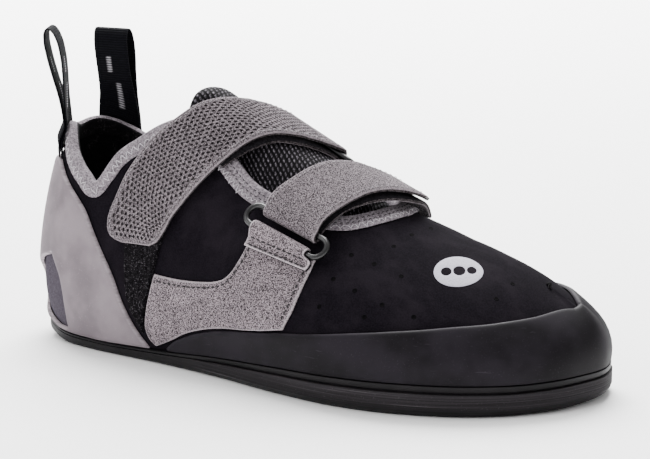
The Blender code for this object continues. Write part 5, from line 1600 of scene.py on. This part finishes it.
def make_pull_loop(name, sizes):
    """Webbing folded to a teardrop: both legs are sewn to the outside of the heel."""
    t_mid, height, facing, lean_out, lean_back = sizes
    e = 1e-3
    run = np.linalg.norm(skin(t_mid + e, 0.6) - skin(t_mid - e, 0.6)) / (2 * e)
    across = np.linspace(-0.5, 0.5, 17)[:, None] * LOOP_WIDTH
    t = t_mid + across[:, 0] / run
    low = CURVE_GAP + WEBBING / 2 + LOOP_ROWS["over"] * (BIND + HEEL_GAP)
    half = (WEBBING + GAP) / 2
    collar = np.where(t < 0, curve(OPENING["u"], OPENING["med"], -t), curve(OPENING["u"], OPENING["lat"], t))
    sewn = collar[None, :] - LOOP_ROWS["below"][:, None]
    seat = skin(t, sewn[-1], low[-1] + half)
    _, normal = outline(t)
    normal = np.concatenate([normal, 0 * normal[:, :1]], -1)
    out = np.array([math.cos(math.radians(facing)), math.sin(math.radians(facing)), 0.0])
    width = np.array([-out[1], out[0], 0.0])
    width *= np.sign((seat[-1] - seat[0]).dot(width))
    straight = seat.mean(0) + across * width

    def free(rise, spread):
        blend = min(1.0, rise / 0.5)
        blend = blend * blend * (3 - 2 * blend)
        middle = seat * (1 - blend) + straight * blend
        way = normal * (1 - blend) + out * blend
        lean = rise**1.5 * (out * lean_out + np.array([-lean_back, 0.0, 0.0]))
        return middle + way * spread + lean + np.array([0.0, 0.0, height * rise])

    rows = [skin(t, v, off + 2 * half) for v, off in zip(sewn, low)]
    spreads = np.maximum(LOOP_FREE["open"] * LOOP_OPEN, half)
    rows += [free(rise, spread) for rise, spread in zip(LOOP_FREE["rise"], spreads)]
    rows += [free(rise, -spread) for rise, spread in zip(LOOP_FREE["rise"][::-1], spreads[::-1])]
    rows += [skin(t, v, off) for v, off in zip(sewn[::-1], low[::-1])]
    rows = np.array(rows)
    s = lengths(rows)[:, 8]
    q = np.linspace(0, s[-1], 190)
    middle = np.stack([np.stack([curve(s, rows[:, j, k], q) for k in range(3)], -1) for j in range(17)], 1)
    normal = grid_normals(middle)
    x = across[:, 0]
    rim = np.minimum(np.minimum(q, s[-1] - q)[:, None], (LOOP_WIDTH / 2 - np.abs(x))[None, :])
    thick = WEBBING / 2 * rounding(rim, 0.0006, 0.55)[..., None]
    a, b = np.broadcast_arrays(q[:, None] * 1e3, x[None, :] * 1e3)
    dash = np.zeros_like(a)
    for at_s, at_x, long, wide in DASHES:
        for place_s in (at_s, s[-1] * 1e3 - at_s):
            inside_s = np.clip((long / 2 - np.abs(a - place_s)) / 0.3 + 0.5, 0, 1)
            inside_x = np.clip((wide / 2 - np.abs(b - at_x)) / 0.3 + 0.5, 0, 1)
            dash = np.maximum(dash, inside_s * inside_x)
    made = shell(middle + normal * thick, middle - normal * thick, place=mm(q[:, None], x[None, :]),
                 rim=rim * 1e3, tint=dash)
    return made.make(name + "_webbing", [name], [WEBBING_LOOK], "webbing_black", sharp=60)


# pale dashes woven into the pull loops: middle along, middle across, length and width, in mm
DASHES = ((24.0, -1.5, 11.0, 1.6), (38.0, 1.5, 7.0, 1.6))


def panel_rows():
    """Stitches along the panels' edges."""
    for name, points, first, last in (
            ("lateral_top", LATERAL_PANEL, 17, 27), ("lateral_front", LATERAL_PANEL, 1, 5),
            ("medial_back", MEDIAL_PANEL, 8, 11), ("medial_front", MEDIAL_PANEL, 2, 8)):
        loop = loop_of(points, 0.0010)
        inner = inset(loop, 0.0021)
        ends = []
        for k in (first, last):
            away = (loop - np.array(points[k % len(points)][:2])) * SHEET_SCALE
            ends.append(np.argmin(np.linalg.norm(away, axis=1)))
        if ends[1] <= ends[0]:
            ends[1] += len(loop)
        line = np.array([inner[k % len(inner)] for k in range(ends[0] + 2, ends[1] - 1)])
        rows = run_of(*on_surface(skin_uw, line, SEWN_FOOT + PANEL_FACE + STITCH_LIFT), 0.0021, 0.0007)
        stitches(f"{name}_stitches", *rows, [THREAD_DARK], radius=0.00034, slot="suede_grey")


def make_print():
    """A plain oval transfer on the toe, with three round openings."""
    centre = np.array([0.829, -0.300])
    right = np.array([0.0310, 0.0600])
    up = np.array([-0.0050, 0.1020])
    turn = np.linspace(0, 2 * math.pi, 61)[:-1, None]
    oval = centre + right * np.cos(turn) + up * np.sin(turn)
    holes = []
    for q in (-0.52, 0.0, 0.52):
        small = np.linspace(0, 2 * math.pi, 25)[:-1, None]
        size = 0.21 if q else 0.25
        holes.append(centre + right * (q + size * np.cos(small)) + up * size * 1.25 * np.sin(small))
    made = sheet(skin_uw, oval, holes, 0.0010, 0.00005, 0.00014, radius=0.0002, rings=())
    made.make("toe_print", None, [INK, INK], "tape_grey")


# vent holes, in (u, w)
VENTS = (
    (0.770, -0.044), (0.754, -0.164), (0.738, -0.282), (0.719, -0.416), (0.683, -0.416), (0.664, -0.550),
    (0.699, -0.570), (0.760, -0.434), (0.740, -0.602), (0.782, -0.630), (0.717, -0.678), (0.647, -0.684),
    (0.901, -0.274), (0.878, -0.430), (0.756, 0.090), (0.738, 0.215),
    (0.716, 0.350), (0.742, 0.400), (0.700, 0.500), (0.890, 0.200),
)


def make_vents():
    # each vent is a flat disc whose near-black is painted shade inside the hole
    made = Piece()
    for u, w in VENTS:
        point = skin_uw(u, w, 0.00005)
        normal = skin_uw(u, w, 0.001) - point
        normal /= np.linalg.norm(normal)
        side = np.cross(normal, (0, 0, 1.0))
        side /= np.linalg.norm(side)
        ahead = np.cross(side, normal)
        turn = np.radians(np.arange(0, 360, 30))[:, None]
        ring = [point + VENT_HOLE * r * (side * np.cos(turn) + ahead * np.sin(turn)) + normal * z
                for r, z in ((1.15, -0.00004), (1.0, 0.00006), (0.85, 0.00001), (0.3, -0.00001))]
        numbers = made.add(np.array(ring), tint=np.array([0.0, 0.3, 1.0, 1.0])[:, None])
        made.quads(numbers, wrap=True)
        made.face(numbers[-1])
        made.face(numbers[0][::-1])
    made.make("vent_holes", None, [VENT_PAINTED_SHADE], "microsuede_black", weld=None)


make_upper()
make_outsole()
make_insole()
make_tongue()
make_toe_rand()
make_heel_rand()
make_panels()
make_bindings()
upper_band = Band(UPPER_STRAP, UPPER_UNDER)
lower_band = Band(LOWER_STRAP, LOWER_UNDER)
make_strap("upper_strap", upper_band, True)
make_strap("lower_strap", lower_band, False)
for side, band in (("medial", upper_band), ("lateral", lower_band)):
    make_ring(side, band.seat)
    make_tab(side, band.seat)
for name, sizes in PULL_LOOPS.items():
    make_pull_loop(name, sizes)
panel_rows()
make_print()
make_vents()


# floor, light and camera
FLOOR_HALF = 4.0
VIEW_TARGET = (0.08494, 0.0, 0.045)
VIEW_ROUND = 34.0        # degrees from the lateral side towards the toe
VIEW_UP = 12.0           # degrees
VIEW_AWAY = 0.9
SENSOR = 36.0            # millimetres
PICTURE_PIXELS = 650.0   # width of the photo
FOCAL_PIXELS = 2150.0
SHIFT_PIXELS = (17.0, 30.0)


def make_floor():
    """White paper under the shoe."""
    size = FLOOR_HALF
    mesh = bpy.data.meshes.new("floor")
    corners = [(-size, -size, 0), (size, -size, 0), (size, size, 0), (-size, size, 0)]
    mesh.from_pydata(corners, [], [[0, 1, 2, 3]])
    look = Look("floor_paper", rough=0.9, specular=0.1)
    look.colour(tone(253, 253, 253))
    mesh.materials.append(look.mat)
    floor = bpy.data.objects.new("floor", mesh)
    bpy.context.scene.collection.objects.link(floor)


def add_light(name, place, aim, size, watts):
    light = bpy.data.lights.new(name, "AREA")
    light.energy = watts
    light.shape = "DISK"
    light.size = size
    lamp = bpy.data.objects.new(name, light)
    lamp.location = place
    lamp.rotation_mode = "QUATERNION"
    lamp.rotation_quaternion = (Vector(aim) - Vector(place)).to_track_quat("-Z", "Y")
    bpy.context.scene.collection.objects.link(lamp)


def make_world(strength):
    """An even white surround."""
    world = bpy.data.worlds.new("studio")
    world.use_nodes = True
    background = world.node_tree.nodes["Background"]
    background.inputs[0].default_value = (1.0, 1.0, 1.0, 1.0)
    background.inputs[1].default_value = strength
    bpy.context.scene.world = world


def make_camera():
    """The photo's view, fitted to the shoe's outline."""
    azimuth, height = math.radians(VIEW_ROUND), math.radians(VIEW_UP)
    level = math.cos(height)
    back = Vector((math.sin(azimuth) * level, -math.cos(azimuth) * level, math.sin(height)))
    lens = bpy.data.cameras.new("camera")
    lens.sensor_width = SENSOR
    lens.lens = FOCAL_PIXELS * SENSOR / PICTURE_PIXELS
    lens.shift_x, lens.shift_y = (pixels / PICTURE_PIXELS for pixels in SHIFT_PIXELS)
    lens.clip_start = 0.01
    camera = bpy.data.objects.new("camera", lens)
    camera.location = Vector(VIEW_TARGET) + back * VIEW_AWAY
    camera.rotation_mode = "QUATERNION"
    camera.rotation_quaternion = (-back).to_track_quat("-Z", "Y")
    bpy.context.scene.collection.objects.link(camera)
    bpy.context.scene.camera = camera


make_floor()
make_world(0.86)
add_light("key", (-0.55, -1.00, 0.85), (0.08, 0.0, 0.05), 0.7, 9.0)
add_light("top", (0.00, 0.35, 1.50), (0.08, 0.05, 0.0), 1.0, 16.0)
add_light("back", (-1.20, 1.70, 2.20), (-0.95, 1.45, 0.0), 2.6, 460.0)

make_camera()
